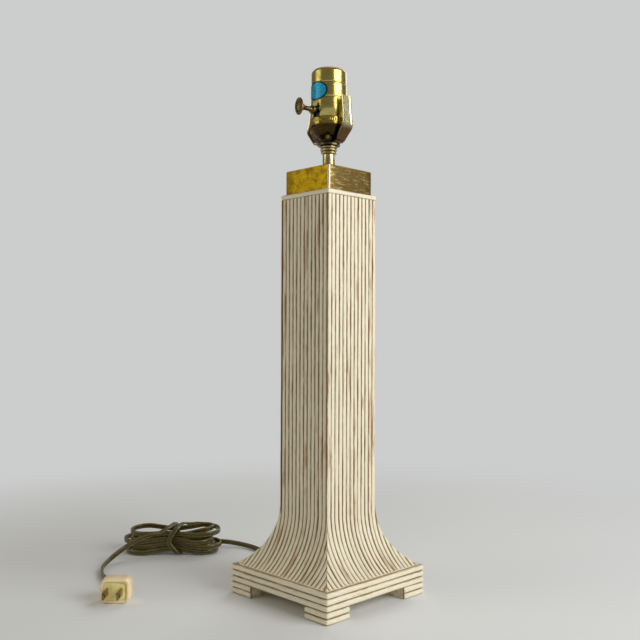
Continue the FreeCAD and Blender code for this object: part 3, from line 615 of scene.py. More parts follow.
def vinylMaterial(name, look):
    # Tinted vinyl: a coated body that light enters a little, with painted shade in the valley between the wires.
    material, tree, sockets = startMaterial(name, Coat_Weight=0.3, Coat_Roughness=0.12, Subsurface_Weight=0.15,
                                            Subsurface_Radius=(0.002, 0.0014, 0.0006), IOR=1.5)
    twist = noise(tree, stretched(tree, attribute(tree, "flow", "Vector"), (0.9, 0.35, 1.0)), 1.0, 2.0)
    strands = spread(tree, twist, 0.35, 0.65)
    colour = blendColours(tree, strands, look["body"], look["strand"])
    # The valley between the wires is painted near black: painted shade in the crease.
    feed(tree, sockets["Base Color"], blendColours(tree, attribute(tree, "groove"), colour, look["paintedValleyShade"]))
    roughen(tree, sockets, strands, look["rough"], look["rough"] + 0.15)
    bump(tree, sockets, twist, 0.25, 0.0003)
    return material


cordLook = {"body": linear(118, 106, 44), "strand": linear(80, 66, 22), "paintedValleyShade": linear(34, 26, 6), "rough": 0.24}
cordVinyl = vinylMaterial("cordVinyl", cordLook)
flatCord, cordPath, cordRun = makeCord(cordRoute, hankShape)
settle(flatCord, cordVinyl, "cord_vinyl", "cord_lead", "cord_hank", "cord_wrap", "cord_tail")
print("cord route", round(cordRun), "mm")


# The plug: a rounded square body with a recessed face, two flat blades and a neck for the cord.
plugShape = {"u": -19.0, "frontV": -177.5, "height": 10.8, "wide": 13.2, "tall": 10.8, "deep": 17.0,
             "neckWide": 8.5, "neckTall": 7.0, "neckDeep": 9.0, "rim": 3.0, "recess": 1.6}
bladeShape = {"gap": 12.7, "tall": 6.35, "thick": 1.5, "tip": -16.0, "root": 2.0, "hole": -11.5, "holeRadius": 1.6}


def onPlug(points, shape=plugShape):
    # From the plug's own directions (across, back along the cord, up) to the frame's.
    moved = points.reshape(-1, 3) + (shape["u"], shape["frontV"], shape["height"])
    return fromHank(moved).reshape(points.shape)


def plugPiece(name, stations, sharpAngle):
    # Superellipses strung back along the plug: x = w sgn(cos)|cos|^(2/p), z = t sgn(sin)|sin|^(2/p).
    c, s = np.cos(fullTurn(48)), np.sin(fullTurn(48))
    rows = [columns(wide * np.sign(c) * np.abs(c) ** (2 / power), back, tall * np.sign(s) * np.abs(s) ** (2 / power))
            for wide, tall, back, power in stations]
    return buildPiece(name, [solid(onPlug(np.array(rows)))], sharpAngle)


def makePlugBody(shape):
    # From the recess floor out over the rim and back to the neck.
    w, t, deep, rim = shape["wide"], shape["tall"], shape["deep"], shape["rim"]
    neckWide, neckTall, end = shape["neckWide"], shape["neckTall"], shape["deep"] + shape["neckDeep"]
    return plugPiece("plugBody", [
        (w - rim - 0.2, t - rim - 0.2, shape["recess"], 7), (w - rim, t - rim, 0.5, 7),
        (w - rim + 0.3, t - rim + 0.3, 0.1, 7), (w - 1.6, t - 1.6, 0.0, 6), (w - 0.5, t - 0.5, 0.35, 5.5),
        (w, t, 1.4, 5), (w, t, 6.0, 5), (w, t, deep - 2.5, 5), (w - 0.6, t - 0.5, deep - 0.9, 4.8),
        (w - 2.2, t - 1.6, deep - 0.1, 4.5), (neckWide + 1.2, neckTall + 1.0, deep + 0.3, 4),
        (neckWide, neckTall, deep + 1.4, 3.6), (7.2, 5.6, deep + 5.0, 3.2), (5.0, 4.2, end - 1.0, 2.8),
        (4.0, 3.4, end, 2.6)], 50)


def makePlugInsert(shape):
    # The amber face plate in the recess: a rounded slab with a raised bar between the blades.
    w, t = shape["wide"] - shape["rim"] - 0.3, shape["tall"] - shape["rim"] - 0.3
    return plugPiece("plugInsert", [(w, t, 1.55, 7), (w, t, 0.95, 7), (w - 0.3, t - 0.3, 0.8, 7),
                                    (3.4, t - 1.2, 0.8, 7), (3.0, t - 1.5, 0.45, 7)], 40)


def makeBlades(shape):
    # Flat bars with a bevelled tip and a round hole: rings between the hole and the bar's outline.
    half, thick, tip, root = shape["tall"] / 2, shape["thick"] / 2, shape["tip"], shape["root"]
    outline = rounded([(tip, -half, 1.4), (root, -half, 0.2), (root, half, 0.2), (tip, half, 1.4)], 4, True)
    outline = evenly(np.concatenate([outline, outline[:1]]), 1.0)[0][:-1]
    hole = np.array([shape["hole"], 0.0])
    around = np.arctan2(outline[:, 1] - hole[1], outline[:, 0] - hole[0])
    ring = hole + shape["holeRadius"] * columns(np.cos(around), np.sin(around))
    inset = outline + (hole * [0.35, 1] - outline) * 0.06
    loops = ((ring, 1), (inset, 1), (outline, 0.7), (outline, -0.7), (inset, -1), (ring, -1))
    grids = []
    for side in (-1, 1):
        rows = [columns(side * shape["gap"] / 2 + thick * depth, flat[:, 0], flat[:, 1]) for flat, depth in loops]
        grids.append(grid(onPlug(np.array(rows)), closeAcross=True, closeAlong=True))
    return buildPiece("plugBlades", grids, 30)


plugIvoryLook = {"first": linear(252, 232, 196), "second": linear(248, 218, 166), "scale": 120.0, "rough": 0.28,
                 "bump": 0.1}
plugAmberLook = {"first": linear(254, 240, 172), "second": linear(246, 222, 124), "scale": 160.0, "rough": 0.22,
                 "bump": 0.1}
plugIvory = plainMaterial("plugIvory", plugIvoryLook, Subsurface_Weight=0.35, Coat_Weight=0.3, Coat_Roughness=0.15,
                          Subsurface_Radius=(0.006, 0.003, 0.0012))
plugAmber = plainMaterial("plugAmber", plugAmberLook, Subsurface_Weight=0.3, Coat_Weight=0.4, Coat_Roughness=0.12,
                          Subsurface_Radius=(0.004, 0.002, 0.0006))
plugBody = settle(makePlugBody(plugShape), plugIvory, "plug_vinyl", "plug_body")
plugInsert = settle(makePlugInsert(plugShape), plugAmber, "plug_insert_vinyl", "plug_insert")
plugBlades = settle(makeBlades(bladeShape), bladeBrass, "blade_brass", "plug_blades")
print("cord and plug made")


# The reeds: split cane strips side by side up the column, bent out over the flare and mitred at the corners.
# The right and left faces are covered to their full width and lap the ends of the front and back ones.
columnCane = {"back": 29.35, "web": 29.75, "crest": 31.6, "top": 364.5, "flareStart": 80.0, "flareAxis": 95.6,
              "foot": 27.0, "arcPoints": 11, "shaftRows": 64, "flareRows": 26,
              "fill": 0.985, "waver": 0.012, "sway": 0.07, "swell": 0.05, "seed": 7}
# Each side's width, its reeds on the shaft and its reeds at the flare's foot.
caneSides = {"front": (58.6, 12, 24), "right": (63.2, 13, 25), "back": (58.6, 12, 24), "left": (63.2, 13, 25)}


def makeCane(quarter, width, onShaft, onFlare, back, web, crest, top, flareStart, flareAxis, foot, arcPoints,
             shaftRows, flareRows, fill, waver, sway, swell, seed):
    # A reed's section is x = -(p/2) cos a, out = web + rise sin^0.8 a, closed by a flat back. It runs straight
    # down the shaft, then round the flare's arc about the axis (flareAxis, flareStart). A reed beyond the
    # shaft's width starts on the mitre, where its distance out equals its distance across.
    random = np.random.default_rng(seed + quarter)
    angle = np.linspace(0, math.pi, arcPoints)
    bulge = np.sin(angle) ** 0.8
    pitch = width / onShaft
    grids = []
    for k in range(onFlare):
        place = (k - (onFlare - 1) / 2) * pitch
        rise = (crest - web) * min(max(1 + swell * random.normal(), 0.88), 1.0)
        across = np.concatenate([place - pitch / 2 * np.cos(angle), place + pitch * np.array([0.48, -0.48])])
        out = np.concatenate([web + rise * bulge, [back] * 2])
        radius = flareAxis - out
        end = np.arcsin((flareStart - foot) / radius)
        start = np.zeros_like(radius)
        fromTop = abs(place) < width / 2
        if not fromTop:
            mitre = np.arccos(np.clip((flareAxis - np.abs(across)) / radius, -1, 1))
            start = np.minimum(mitre, end - 0.002)
        turn = start + (end - start) * np.linspace(0, 1, flareRows)[:, None]
        points = columns(across, radius * np.cos(turn) - flareAxis, flareStart - radius * np.sin(turn))
        along = turn * radius
        if fromTop:
            down = np.linspace(top, flareStart, shaftRows)[:-1, None]
            shaft = columns(across, -out, down)
            points = np.concatenate([shaft, points])
            along = np.concatenate([shaft[..., 2] - flareStart, along])
        # A slow sideways sway and a change of width, both gone at the ends.
        share = np.linspace(0, 1, len(points))[:, None]
        fade = smoothStep(share * 8) * smoothStep((1 - share) * 8)
        phase = random.uniform(0, 2 * math.pi, 4)
        swayed = np.sin(along * 0.045 + phase[0]) + 0.6 * np.sin(along * 0.13 + phase[1])
        swayed += 0.3 * np.sin(along * 0.31 + phase[2])
        wide = fill + waver * fade * (np.sin(along * 0.09 + phase[3]) + 0.5 * np.sin(along * 0.23 + phase[0]))
        points[..., 0] = place + (points[..., 0] - place) * wide + sway * fade * swayed
        flow = columns(across - place, along, 9.7 * k + 31.0 * quarter)
        grids.append(solid(quarterTurns(points, quarter), flow=flow, groove=np.concatenate([1 - bulge, [1, 1]]),
                           tone=random.uniform()))
    return grids


for quarter, (side, counts) in enumerate(caneSides.items()):
    reeds = buildPiece("caneReeds." + side, makeCane(quarter, *counts, **columnCane), 60)
    settle(reeds, canePaint, "reed_finish", "reeds_" + side)


# Level reeds that run round the square: the band at the top, three rows on the apron and two on each foot.
bandCane = {"back": 29.35, "out": 31.6, "low": 364.5, "high": 369.3, "corner": 1.0}
apronCane = {"back": 60.8, "out": 63.5, "corner": 1.3}
apronRows = {"low": 10.8, "pitch": 5.4, "count": 3}
footCane = {"back": 60.8, "out": 63.5, "corner": 1.3, "inner": 36.0, "endSizes": (0.84, 0.95)}
footRows = {"low": 0.0, "pitch": 5.4, "count": 2}
# A level reed's waves: how high each is and how often it comes round the square.
reedWaves = ((0.07, 9), (0.05, 23))


def reedSection(back, out, low, high, arcPoints=9):
    # Half round: out = back + rise sin^0.7 a, height from low to high by -cos a, and a flat back.
    angle = np.linspace(0, math.pi, arcPoints)
    bulge = np.sin(angle) ** 0.7
    x = np.concatenate([back + (out - back) * bulge, [back - 0.05] * 2])
    z = (low + high) / 2 + (high - low) / 2 * np.concatenate([-np.cos(angle), [0.9, -0.9]])
    return x, z, np.concatenate([1 - bulge, [1, 1]])


def makeLevelReed(number, back, out, low, high, corner):
    # The section carried round a square with slightly rounded corners, rising and falling a little.
    x, z, groove = reedSection(back, out, low, high)
    random = np.random.default_rng(300 + number)
    sizes = np.minimum(corner, corner * (0.4 + 0.6 * (x - back + 0.3) / (out - back)))
    rings = np.array([squareRing(half, size, 24) for half, size in zip(x, sizes)])
    run = runLengths(rings[0])
    phase = random.uniform(0, 2 * math.pi, len(reedWaves))
    turn = run * 2 * math.pi / (run[-1] + 1e-6)
    wave = sum(high * np.sin(turn * often + start) for (high, often), start in zip(reedWaves, phase))
    heights = z[:, None] + wave * np.sin((z - z.min()) / (z.max() - z.min()) * math.pi)[:, None]
    return grid(columns(rings[..., 0], rings[..., 1], heights), closeAcross=True, closeAlong=True,
                flow=columns(z[:, None], run, 13.1 * number + 400), groove=groove[:, None],
                tone=random.uniform() * 0.6)


def makeFootReed(row, quarter, low, high, back, out, corner, inner, endSizes):
    # The same section round one corner only, closed at both ends with a soft edge.
    x, z, groove = reedSection(back, out, low, high)
    bend = np.linspace(-math.pi / 2, 0, 6)
    paths = []
    for half in x:
        size = min(corner, 0.5 + half - back)
        centre = half - size
        steps = inner + np.concatenate([[0, 0.35, 0.9], np.linspace(2.0, centre - inner, 8)])[:-1]
        arc = columns(centre + size * np.cos(bend), size * np.sin(bend) - centre)
        paths.append(np.concatenate([columns(steps, -half), arc, columns(half, -steps)[::-1]]))
    flat = np.array(paths).transpose(1, 0, 2)
    # Towards the ends the section shrinks about its middle and draws back to its flat side.
    shrink = np.ones((len(flat), 1))
    shrink[[0, -1]], shrink[[1, -2]] = endSizes
    outer = np.abs(flat).max(axis=-1)
    pull = (outer - back) * (1 - shrink)
    touching = np.abs(np.abs(flat) - outer[..., None]) < 1e-9
    flat -= np.sign(flat) * pull[..., None] * touching
    points = columns(flat[..., 0], flat[..., 1], z.mean() + (z - z.mean()) * shrink)
    flow = columns(z, runLengths(flat[:, 4])[:, None], 17.3 * (10 * row + quarter) + 800)
    return solid(quarterTurns(points, quarter), flow=flow, groove=groove, tone=0.1 * quarter)


def settleReed(name, grids, node):
    settle(buildPiece(name, grids, 60), mouldingPaint, "reed_finish", node)


def rowHeights(rows):
    # Each row's number from 1, with the heights of its lower and upper edge.
    for row in range(rows["count"]):
        low = rows["low"] + row * rows["pitch"]
        yield row + 1, low, low + rows["pitch"]


settleReed("topBand", [makeLevelReed(0, **bandCane)], "top_band")
for row, low, high in rowHeights(apronRows):
    apron = [makeLevelReed(row, low=low, high=high, **apronCane)]
    settleReed("apronReed." + str(row), apron, "apron_reeds_" + str(row))
for row, low, high in rowHeights(footRows):
    feet = [makeFootReed(row - 1, quarter, low, high, **footCane) for quarter in range(4)]
    settleReed("footReed." + str(row), feet, "foot_reeds_" + str(row))
print("cane made")


# The brass cap: a folded square box, open below.
capShape = {"half": 28.6, "low": 369.3, "high": 391.3, "corner": 2.2, "edge": 0.7, "metal": 1.0}


def makeCap(half, low, high, corner, edge, metal):
    # Rounded squares stacked up a profile of (half width, height) or (half width, height, corner radius).
    profile = [(0.5, high), (12.0, high), (half - 2.0, high)]
    profile += [(half - edge + edge * math.sin(a), high - edge + edge * math.cos(a), corner - 0.3 * math.cos(a))
                for a in np.linspace(0.1, math.pi / 2, 6)]
    profile += [(half, high - 3.0), (half, (low + high) / 2), (half, low + 1.0), (half, low)]
    profile += [(half - metal, low), (half - metal, high - metal), (12.0, high - metal), (0.5, high - metal)]
    rings = []
    for size, z, *own in profile:
        ring = squareRing(size, min(own[0] if own else corner, 0.9 * size))
        rings.append(columns(ring[:, 0], ring[:, 1], z))
    return buildPiece("brassCap", [solid(rings)], 35)


settle(makeCap(**capShape), capBrass, "cap_brass", "brass_cap")


# Turned brass between the cap and the socket, and the bushing under the pipe.
neckShape = {"neck": 5.7, "bore": 5.1, "low": 391.3, "neckTop": 407.6, "collar": 8.3, "collarTop": 415.6,
             "ringSteps": (0.9, 0.35, 0.0), "ringBulge": 1.25}
bushingShape = {"inner": 2.9, "outer": 6.5, "low": 13.4, "high": 15.4, "edge": 0.7, "steps": 4}


def makeNeck(neck, bore, low, neckTop, collar, collarTop, ringSteps, ringBulge):
    # The tube's profile, then the collar's: rings that bulge as r = collar - step - bulge (1 - sqrt(1 - s^2)).
    tube = tubeProfile(bore, neck, low, neckTop, 0.25, 3)
    rise = (collarTop - neckTop) / len(ringSteps)
    s = np.linspace(-0.97, 0.97, 9)
    rings = [columns(collar - step - ringBulge * (1 - np.sqrt(1 - s * s)), neckTop + (k + 0.5 + s / 2) * rise)
             for k, step in enumerate(ringSteps)]
    profile = np.concatenate([[(bore, neckTop)], *rings, [(bore, collarTop)]])
    bushing = tubeProfile(**bushingShape)
    return buildPiece("turnedBrass", [turnedTube(tube, 48), turnedTube(profile, 64), turnedTube(bushing, 40)], 40)


settle(makeNeck(**neckShape), neckBrass, "fitting_brass", "brass_fittings")


# The harp saddle: a bent strip whose uprights have curled edges.
saddleShape = {"base": 417.4, "flat": 14.0, "kneeRight": 24.0, "kneeLeft": 22.3, "kneeHeight": 14.0,
               "bentLeft": 19.6, "bentHeight": 24.0, "topRight": 21.8, "topLeft": 18.4, "height": 41.0,
               "bend": 3.0, "half": 5.4, "kneeHalf": 6.8, "metal": 1.1, "curl": 0.9, "curlFrom": 0.66,
               "curlLow": 5.0, "curlHigh": 14.0, "kneeDrop": 3.0, "kneeSpan": 7.0}


def makeSaddle(base, flat, kneeRight, kneeLeft, kneeHeight, bentLeft, bentHeight, topRight, topLeft, height, bend,
               half, kneeHalf, metal, curl, curlFrom, curlLow, curlHigh, kneeDrop, kneeSpan):
    # The strip's line in X and Z is rounded at its bends. Across it, the middle is flat and the edges curl
    # outwards as a quarter round, by nothing at the foot and by the whole curl on the uprights.
    corners = [(-topLeft, height, 0), (-bentLeft, bentHeight, 4.0), (-kneeLeft, kneeHeight, bend), (-flat, 0, bend),
               (flat, 0, bend), (kneeRight, kneeHeight, bend), (topRight, height, 0)]
    line = evenly(rounded(corners, 6), 1.2)[0] + [0, metal / 2]
    tangent = unit(np.gradient(line, axis=0))
    x, z = line[:, 0:1], line[:, 1:2]
    rolled = smoothStep((z - curlLow) / (curlHigh - curlLow))
    wide = half + (kneeHalf - half) * np.exp(-((z - kneeHeight + kneeDrop) / kneeSpan) ** 2)
    t = np.linspace(-1, 1, 21)
    lift = 1 - np.sqrt(1 - (0.98 * np.clip((np.abs(t) - curlFrom) / (1 - curlFrom), 0, 1)) ** 2)
    layers = []
    for face in (0.5, -0.5):
        offset = lift * rolled * curl + face * metal
        layers.append(columns(x + tangent[:, 1:2] * offset, t * wide, base + z - tangent[:, 0:1] * offset))
    loop = np.concatenate([layers[0], layers[1][:, ::-1]], axis=1)
    ends = [grid(np.stack([layers[0][row], layers[1][row]])) for row in (0, -1)]
    return buildPiece("harpSaddle", [grid(loop, closeAcross=True)] + ends, 40)


settle(makeSaddle(**saddleShape), saddleBrass, "fitting_brass", "harp_saddle")


def sheetLathe(profile, angle, radiusChange=0.0, keep=None):
    # The outer face of a thin turned sheet; thicken gives it its wall.
    r, z = profile[:, 0:1] + radiusChange, profile[:, 1:2]
    return grid(columns(r * np.cos(angle), r * np.sin(angle), z), closeAcross=True, keep=keep)


def thicken(piece, metal):
    made = piece.modifiers.new("wall", "SOLIDIFY")
    made.thickness = metal * toMetres
    made.offset = -1.0
    made.use_rim = True
    return piece


# The socket's cup: a bowl whose straight rim is knurled between two beads. Its bowl's bends are a radius, a
# height above the base and how far they are rounded.
cupShape = {"base": 418.7, "neck": 9.0, "bore": 5.0, "rim": 17.6, "ledge": 432.7, "top": 440.3, "metal": 0.8,
            "bowl": ((14.3, 6.3, 5.0), (16.9, 11.6, 4.0)), "knurls": 60,
            "padUp": 4.4, "padHalf": 1.1, "padDepth": 0.16, "beadIn": 0.9, "beadHalf": 0.45, "beadDepth": 0.2}


def makeCup(base, neck, bore, rim, ledge, top, metal, bowl, knurls, padUp, padHalf, padDepth, beadIn, beadHalf,
            beadDepth):
    # A cone that rounds into a straight band. The band swells in two beads, and between them in a row of
    # square-ended pads: cos(knurls a) kept above zero.
    corners = [(bore, base + 0.2, 0), (neck - 0.5, base, 0.5), (neck, base + 1.6, 1.2),
               *[(r, base + up, size) for r, up, size in bowl], (rim - 0.2, ledge + 0.2, 0)]
    cone = rounded(corners, 7)
    band = columns(rim - 0.2, np.linspace(ledge + 0.4, top - 0.4, 17))
    profile = np.concatenate([cone, band, [(rim - 0.5, top), (rim - 0.85, top + 0.1)]])
    angle = fullTurn(knurls * 8)
    z = profile[:, 1:2]
    pads = np.exp(-((z - ledge - padUp) / padHalf) ** 4) * np.maximum(0, np.cos(angle * knurls)) ** 0.5
    beads = sum(np.exp(-((z - height) / beadHalf) ** 2) for height in (ledge + beadIn, top - beadIn))
    change = (padDepth * pads + beadDepth * beads) * (profile[:, 0:1] > rim - 1.1)
    return thicken(buildPiece("socketCup", [sheetLathe(profile, angle, change)], 50), metal)


# The cup's boss and its set screw.
bossShape = {"radius": 3.2, "start": 5.5, "reach": 15.8, "z": 421.0, "screw": 1.8, "core": 0.9,
             "sunk": 0.5, "slotAngle": 0.16, "turn": 42.0}


def onBoss(points, shape=bossShape):
    # From the boss's own directions, with its axis as the third, to the frame's.
    c, s = math.cos(math.radians(shape["turn"])), math.sin(math.radians(shape["turn"]))
    x, y, out = np.moveaxis(np.asarray(points), -1, 0)
    return np.stack([out * s + x * c, x * s - out * c, y + shape["z"]], -1)


def makeBoss(shape):
    # A short turned tube lying outwards, and in it a screw head of two half discs with a slot between.
    reach, inside, head = shape["reach"], shape["start"] + 0.5, shape["reach"] - shape["sunk"]
    profile = tubeProfile(shape["screw"], shape["radius"], shape["start"], reach, 0.5, 4)
    boss = buildPiece("cupBoss", [grid(onBoss(turned(profile, 40)), closeAcross=True, closeAlong=True)], 40)
    grids = []
    for side in (-1, 1):
        half = np.linspace(shape["slotAngle"], math.pi - shape["slotAngle"], 14)
        x, y = (shape["screw"] - 0.03) * np.cos(half), side * (shape["screw"] - 0.03) * np.sin(half)
        rows = [columns(x * f, y * f + side * 0.28 * (1 - f), out)
                for f, out in ((1, inside), (1, head - 0.15), (0.92, head))]
        grids.append(solid(onBoss(rows)))
    core = np.array([(shape["core"], inside), (shape["core"], reach - 1.5)])
    grids.append(solid(onBoss(turned(core, 40))))
    return boss, buildPiece("bossScrew", grids, 40)


# The slotted shell.
shellShape = {"r": 16.75, "low": 434.3, "high": 485.0, "metal": 0.6, "grooveLow": 458.4, "grooveHigh": 472.0,
              "slotHalf": 3.95, "slotTop": 450.6}


def makeShell(r, low, high, metal, grooveLow, grooveHigh, slotHalf, slotTop):
    # Straight wall with a pressed groove, a step in below the top band, and a rounded shoulder; the columns
    # are set so that two of them lie on the slot's edges.
    profile = rounded([
        (r, low, 0), (r, slotTop, 0), (r, grooveLow - 1.1, 0.5), (r - 0.4, grooveLow, 0.5), (r, grooveLow + 1.1, 0.5),
        (r, grooveHigh - 1.6, 0.5), (r + 0.1, grooveHigh - 0.8, 0.4), (r - 0.75, grooveHigh, 0.4),
        (r - 0.4, grooveHigh + 1.0, 0.4), (r - 0.4, high - 1.6, 0.9), (r - 0.9, high - 0.4, 0.5),
        (r - 2.0, high, 0.3), (r - 2.45, high - 0.3, 0)], 4)
    slot, inSlot = math.asin(slotHalf / r), 8
    angle = np.concatenate([np.linspace(-slot, slot, inSlot + 1),
                            np.linspace(slot, 2 * math.pi - slot, 104)[1:-1]]) - math.pi / 2
    keep = (profile[1:, 1:2] > slotTop + 0.01) | (np.arange(len(angle)) >= inSlot)
    return thicken(buildPiece("socketShell", [sheetLathe(profile, angle, keep=keep)], 50), metal)


settle(makeCup(**cupShape), cupBrass, "socket_brass", "socket_cup")
cupBoss, bossScrew = makeBoss(bossShape)
settle(cupBoss, cupBrass, "socket_brass")
settle(bossScrew, shellBrass, "steel", "set_screw")
settle(makeShell(**shellShape), shellBrass, "socket_brass", "socket_shell")


# Inside the shell: the card sleeve whose edge shows at the mouth, and the threaded screw shell.
sleeveShape = {"inner": 13.55, "outer": 14.25, "low": 470.0, "high": 486.2, "edge": 0.12, "steps": 2}
threadShape = {"radius": 13.3, "low": 460.7, "high": 481.7, "pitch": 3.63, "depth": 0.42,
               "fadeOver": 2.0, "metal": 0.35}


def makeThread(radius, low, high, pitch, depth, fadeOver, metal):
    # r = radius - depth + depth sin(2 pi z / pitch - a), the thread fading out at the mouth and the foot.
    z = np.linspace(low, high, 71)[:, None]
    angle = fullTurn(72)
    wave = np.sin(2 * math.pi * (z / pitch - angle / (2 * math.pi)))
    fade = smoothStep((high - z) / fadeOver) * smoothStep((z - low) / fadeOver)
    profile = columns(radius, z[:, 0])
    return thicken(buildPiece("screwShell", [sheetLathe(profile, angle, depth * wave * fade - depth)], 60), metal)


sleeve = buildPiece("cardSleeve", [turnedTube(tubeProfile(**sleeveShape), 72)], 50)
settle(sleeve, pressedCard, "sleeve_card", "insulating_sleeve")
settle(makeThread(**threadShape), shellBrass, "screw_shell_metal", "screw_shell")


# The blank foil oval on the shell. Its rings are a share of its size and of its thickness.
foilShape = {"middle": -88.0, "z": 464.3, "halfWide": 11.6, "halfTall": 8.8, "radius": 16.82, "thick": 0.1,
             "rings": ((0.02, 1), (0.3, 1), (0.55, 1), (0.75, 1), (0.85, 1), (0.93, 1), (1.0, 0.8), (1.0, -3.0))}
foilLook = {"bright": linear(60, 214, 246), "deep": linear(0, 150, 206), "rim": linear(10, 62, 66), "flakes": 900.0}


def makeFoil(middle, z, halfWide, halfTall, radius, thick, rings):
    # A disc of rings p = 0..1 wrapped on the shell: angle = middle + p a cos t / r, height = z + p b sin t.
    p, raised = np.array(rings).T[..., None]
    t = fullTurn(56)
    angle = math.radians(middle) + p * halfWide * np.cos(t) / radius
    r = radius + raised * thick
    points = columns(r * np.cos(angle), r * np.sin(angle), z + p * halfTall * np.sin(t))
    return buildPiece("foilOval", [grid(points, closeAcross=True, fanStart=True, groove=p)], 60)


def foilMaterial(look):
    # Metallic blue foil in small bright flakes, with a dark printed rim.
    material, tree, sockets = startMaterial("blueFoil", Roughness=0.32, Metallic=0.3)
    flakes = newNode(tree, "TexVoronoi", Vector=ownPlace(tree), Scale=look["flakes"]).outputs["Distance"]
    foil = blendColours(tree, spread(tree, flakes, 0.1, 0.6), look["bright"], look["deep"])
    rim = spread(tree, attribute(tree, "groove"), 0.8, 0.87)
    feed(tree, sockets["Base Color"], blendColours(tree, rim, foil, look["rim"]))
    bump(tree, sockets, flakes, 0.2, 0.0002)
    return material


settle(makeFoil(**foilShape), foilMaterial(foilLook), "socket_brass")


# The turn key: a flared stem and an oval dished thumb piece, turned about the axis along -Y.
keyShape = {"z": 446.0, "inner": 1.85, "stem": 2.3, "start": 3.0, "reach": 36.7, "nearRing": 20.2, "ring": 3.9,
            "ringWide": 2.4, "farRing": 3.4}
# The thumb piece's profile is a share drawn in from its outline and a distance out from its base.
thumbShape = {"base": 36.7, "wide": 5.2, "tall": 8.0, "profile": (
    (0.97, 0.05), (0.6, 0.0), (0.3, 0.1), (0.12, 0.45), (0.03, 0.9), (0.0, 1.35), (0.02, 1.8), (0.07, 2.2),
    (0.15, 2.5), (0.22, 2.6), (0.28, 2.52), (0.34, 2.2), (0.4, 1.75), (0.55, 1.45), (0.75, 1.35), (0.97, 1.32))}


def onKey(points, shape=keyShape):
    # From (across, up, distance out) to the frame's.
    return np.stack([points[..., 0], -points[..., 2], shape["z"] + points[..., 1]], -1)


def makeStem(shape):
    # The profile (radius, distance out): a rounded collar near the shell, a waisted stem and a flare under
    # the thumb piece, turned about the key's axis.
    near, far, start, stem = shape["nearRing"], shape["reach"], shape["start"], shape["stem"]
    inner, ring, farRing = shape["inner"], shape["ring"], shape["farRing"]
    profile = rounded([
        (0.05, start, 0), (inner, start, 0.2), (inner, near - 1.0, 0.8), (ring, near - 0.4, 1.2),
        (ring, near + shape["ringWide"], 1.2), (stem - 0.1, near + 4.0, 2.0), (stem - 0.15, far - 5.0, 3.0),
        (farRing, far - 2.0, 1.0), (farRing, far - 0.6, 0.4), (farRing - 0.3, far, 0.3), (0.05, far, 0)], 5)
    return buildPiece("keyStem", [solid(onKey(turned(profile, 36)))], 45)


def makeThumb(base, wide, tall, profile):
    # Ovals from the middle of the back over the rounded edge to the middle of the dish:
    # across = (1 - inset) w cos t, up = (1 - inset) h sin t.
    profile, t = np.array(profile), fullTurn(56)
    share, out = 1 - profile[:, 0:1], base + profile[:, 1:2]
    points = columns(share * wide * np.cos(t), share * tall * np.sin(t), out)
    return buildPiece("keyThumb", [solid(onKey(points))], 60)


settle(makeStem(keyShape), keyBronze, "key_bronze", "switch_stem", body=knobBody)
settle(makeThumb(**thumbShape), keyBronze, "key_bronze", "turn_key", body=knobBody)
print("socket and key made")


# CAD nodes that show as they are get their finish.
nodeFinish = [
    (boardPaint, ["plinth_board", "foot_blocks", "top_board"]),
    (grooveBrown, ["flare_blocks"] + ["column_board_" + side for side in caneSides]),
    (shadedSteel, ["threaded_pipe", "steel_fittings"]), (blackMoulding, ["switch_body", "contact_disc"]),
    (bladeBrass, ["centre_contact"]), (cordVinyl, ["cord_riser"]),
]
for material, nodeNames in nodeFinish:
    for nodeName in nodeNames:
        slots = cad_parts[nodeName].data.materials
        slots.clear()
        slots.append(material)


# Floor, backdrop, lamps and sky.
stageLook = {"floor": linear(237, 240, 243), "sky": linear(204, 205, 205), "half": 8.0, "fadeFrom": 0.3,
             "fadeTo": 0.85, "skyLight": (1.0, 0.95, 0.83), "skyStrength": 0.22}
lampLook = [
    {"name": "keyLight", "place": (1.45, 0.4, 0.85), "size": (1.2, 1.0), "power": 20.0, "colour": (1.0, 1.0, 0.99)},
    {"name": "fillLight", "place": (-1.0, -1.6, 1.1), "size": (1.2, 1.2), "power": 6.0, "colour": (1.0, 0.93, 0.75)},
    {"name": "backLight", "place": (-0.7, 1.5, 1.4), "size": (1.2, 1.2), "power": 8.0, "colour": (1.0, 0.99, 0.97)},
]
lampTarget = (0.0, 0.0, 0.22)


def mixShaders(tree, share, first, second, output):
    made = newNode(tree, "MixShader")
    for socket, value in zip(made.inputs, (share, first, second)):
        tree.links.new(value, socket)
    tree.links.new(made.outputs[0], output.inputs["Surface"])


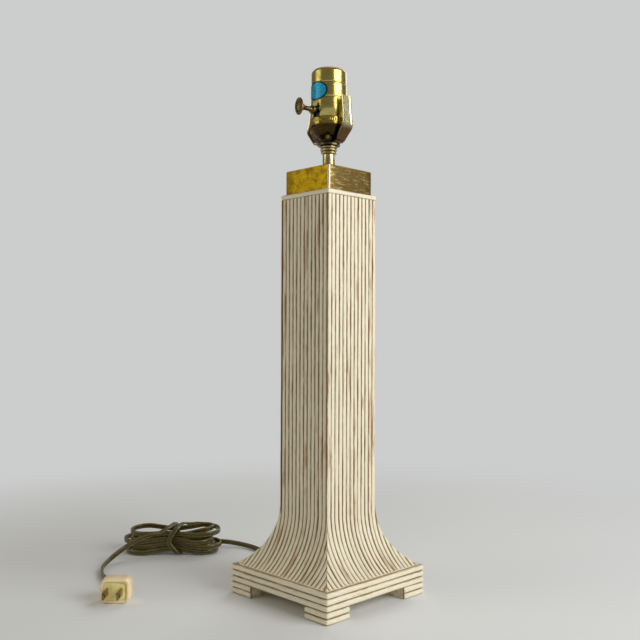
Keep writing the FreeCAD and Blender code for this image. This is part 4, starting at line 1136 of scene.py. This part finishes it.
def makeFloor(look):
    mesh = bpy.data.meshes.new("floor")
    s = look["half"]
    mesh.from_pydata([(-s, -s, 0), (s, -s, 0), (s, s, 0), (-s, s, 0)], [], [(0, 1, 2, 3)])
    floor = newObject("floor", mesh)
    # Near the lamp the floor takes light and shadow; far off it fades to the colour of the sky behind it.
    material, tree, sockets = startMaterial("paleFloor", Roughness=0.85)
    feed(tree, sockets["Base Color"], look["floor"])
    reach = newNode(tree, "VectorMath", operation="LENGTH")
    feed(tree, reach.inputs[0], ownPlace(tree))
    rays = newNode(tree, "LightPath").outputs
    seen = maths(tree, "MAXIMUM", rays["Is Camera Ray"], rays["Is Glossy Ray"])
    faded = times(tree, spread(tree, reach.outputs["Value"], look["fadeFrom"], look["fadeTo"]), seen)
    glow = newNode(tree, "Emission", Color=look["sky"])
    mixShaders(tree, faded, tree.nodes["Principled BSDF"].outputs[0], glow.outputs[0], tree.nodes["Material Output"])
    mesh.materials.append(material)


def makeSky(look):
    # The object is lit by a faint warm sky; the camera sees a plain pale one.
    world = bpy.data.worlds.new("softSky")
    bpy.context.scene.world = world
    world.use_nodes = True
    tree = world.node_tree
    tree.nodes.clear()
    lit = newNode(tree, "Background", Color=look["skyLight"], Strength=look["skyStrength"])
    shown = newNode(tree, "Background", Color=look["sky"], Strength=1.0)
    rays = newNode(tree, "LightPath").outputs
    seen = maths(tree, "MAXIMUM", rays["Is Camera Ray"], rays["Is Transmission Ray"])
    mixShaders(tree, seen, lit.outputs[0], shown.outputs[0], newNode(tree, "OutputWorld"))


def makeLamp(look):
    # A lamp shines along its own -Z, which its rotation turns to the target.
    data = bpy.data.lights.new(look["name"], "AREA")
    data.shape = "RECTANGLE"
    data.size, data.size_y = look["size"]
    data.energy, data.color = look["power"], look["colour"]
    lamp = newObject(look["name"], data)
    lamp.location = look["place"]
    lamp.rotation_euler = (Vector(lampTarget) - Vector(look["place"])).to_track_quat("-Z", "Y").to_euler()


makeFloor(stageLook)
makeSky(stageLook)
for look in lampLook:
    makeLamp(look)
bpy.context.scene.view_settings.view_transform = "Standard"
print("stage made")

bpy.context.view_layer.update()
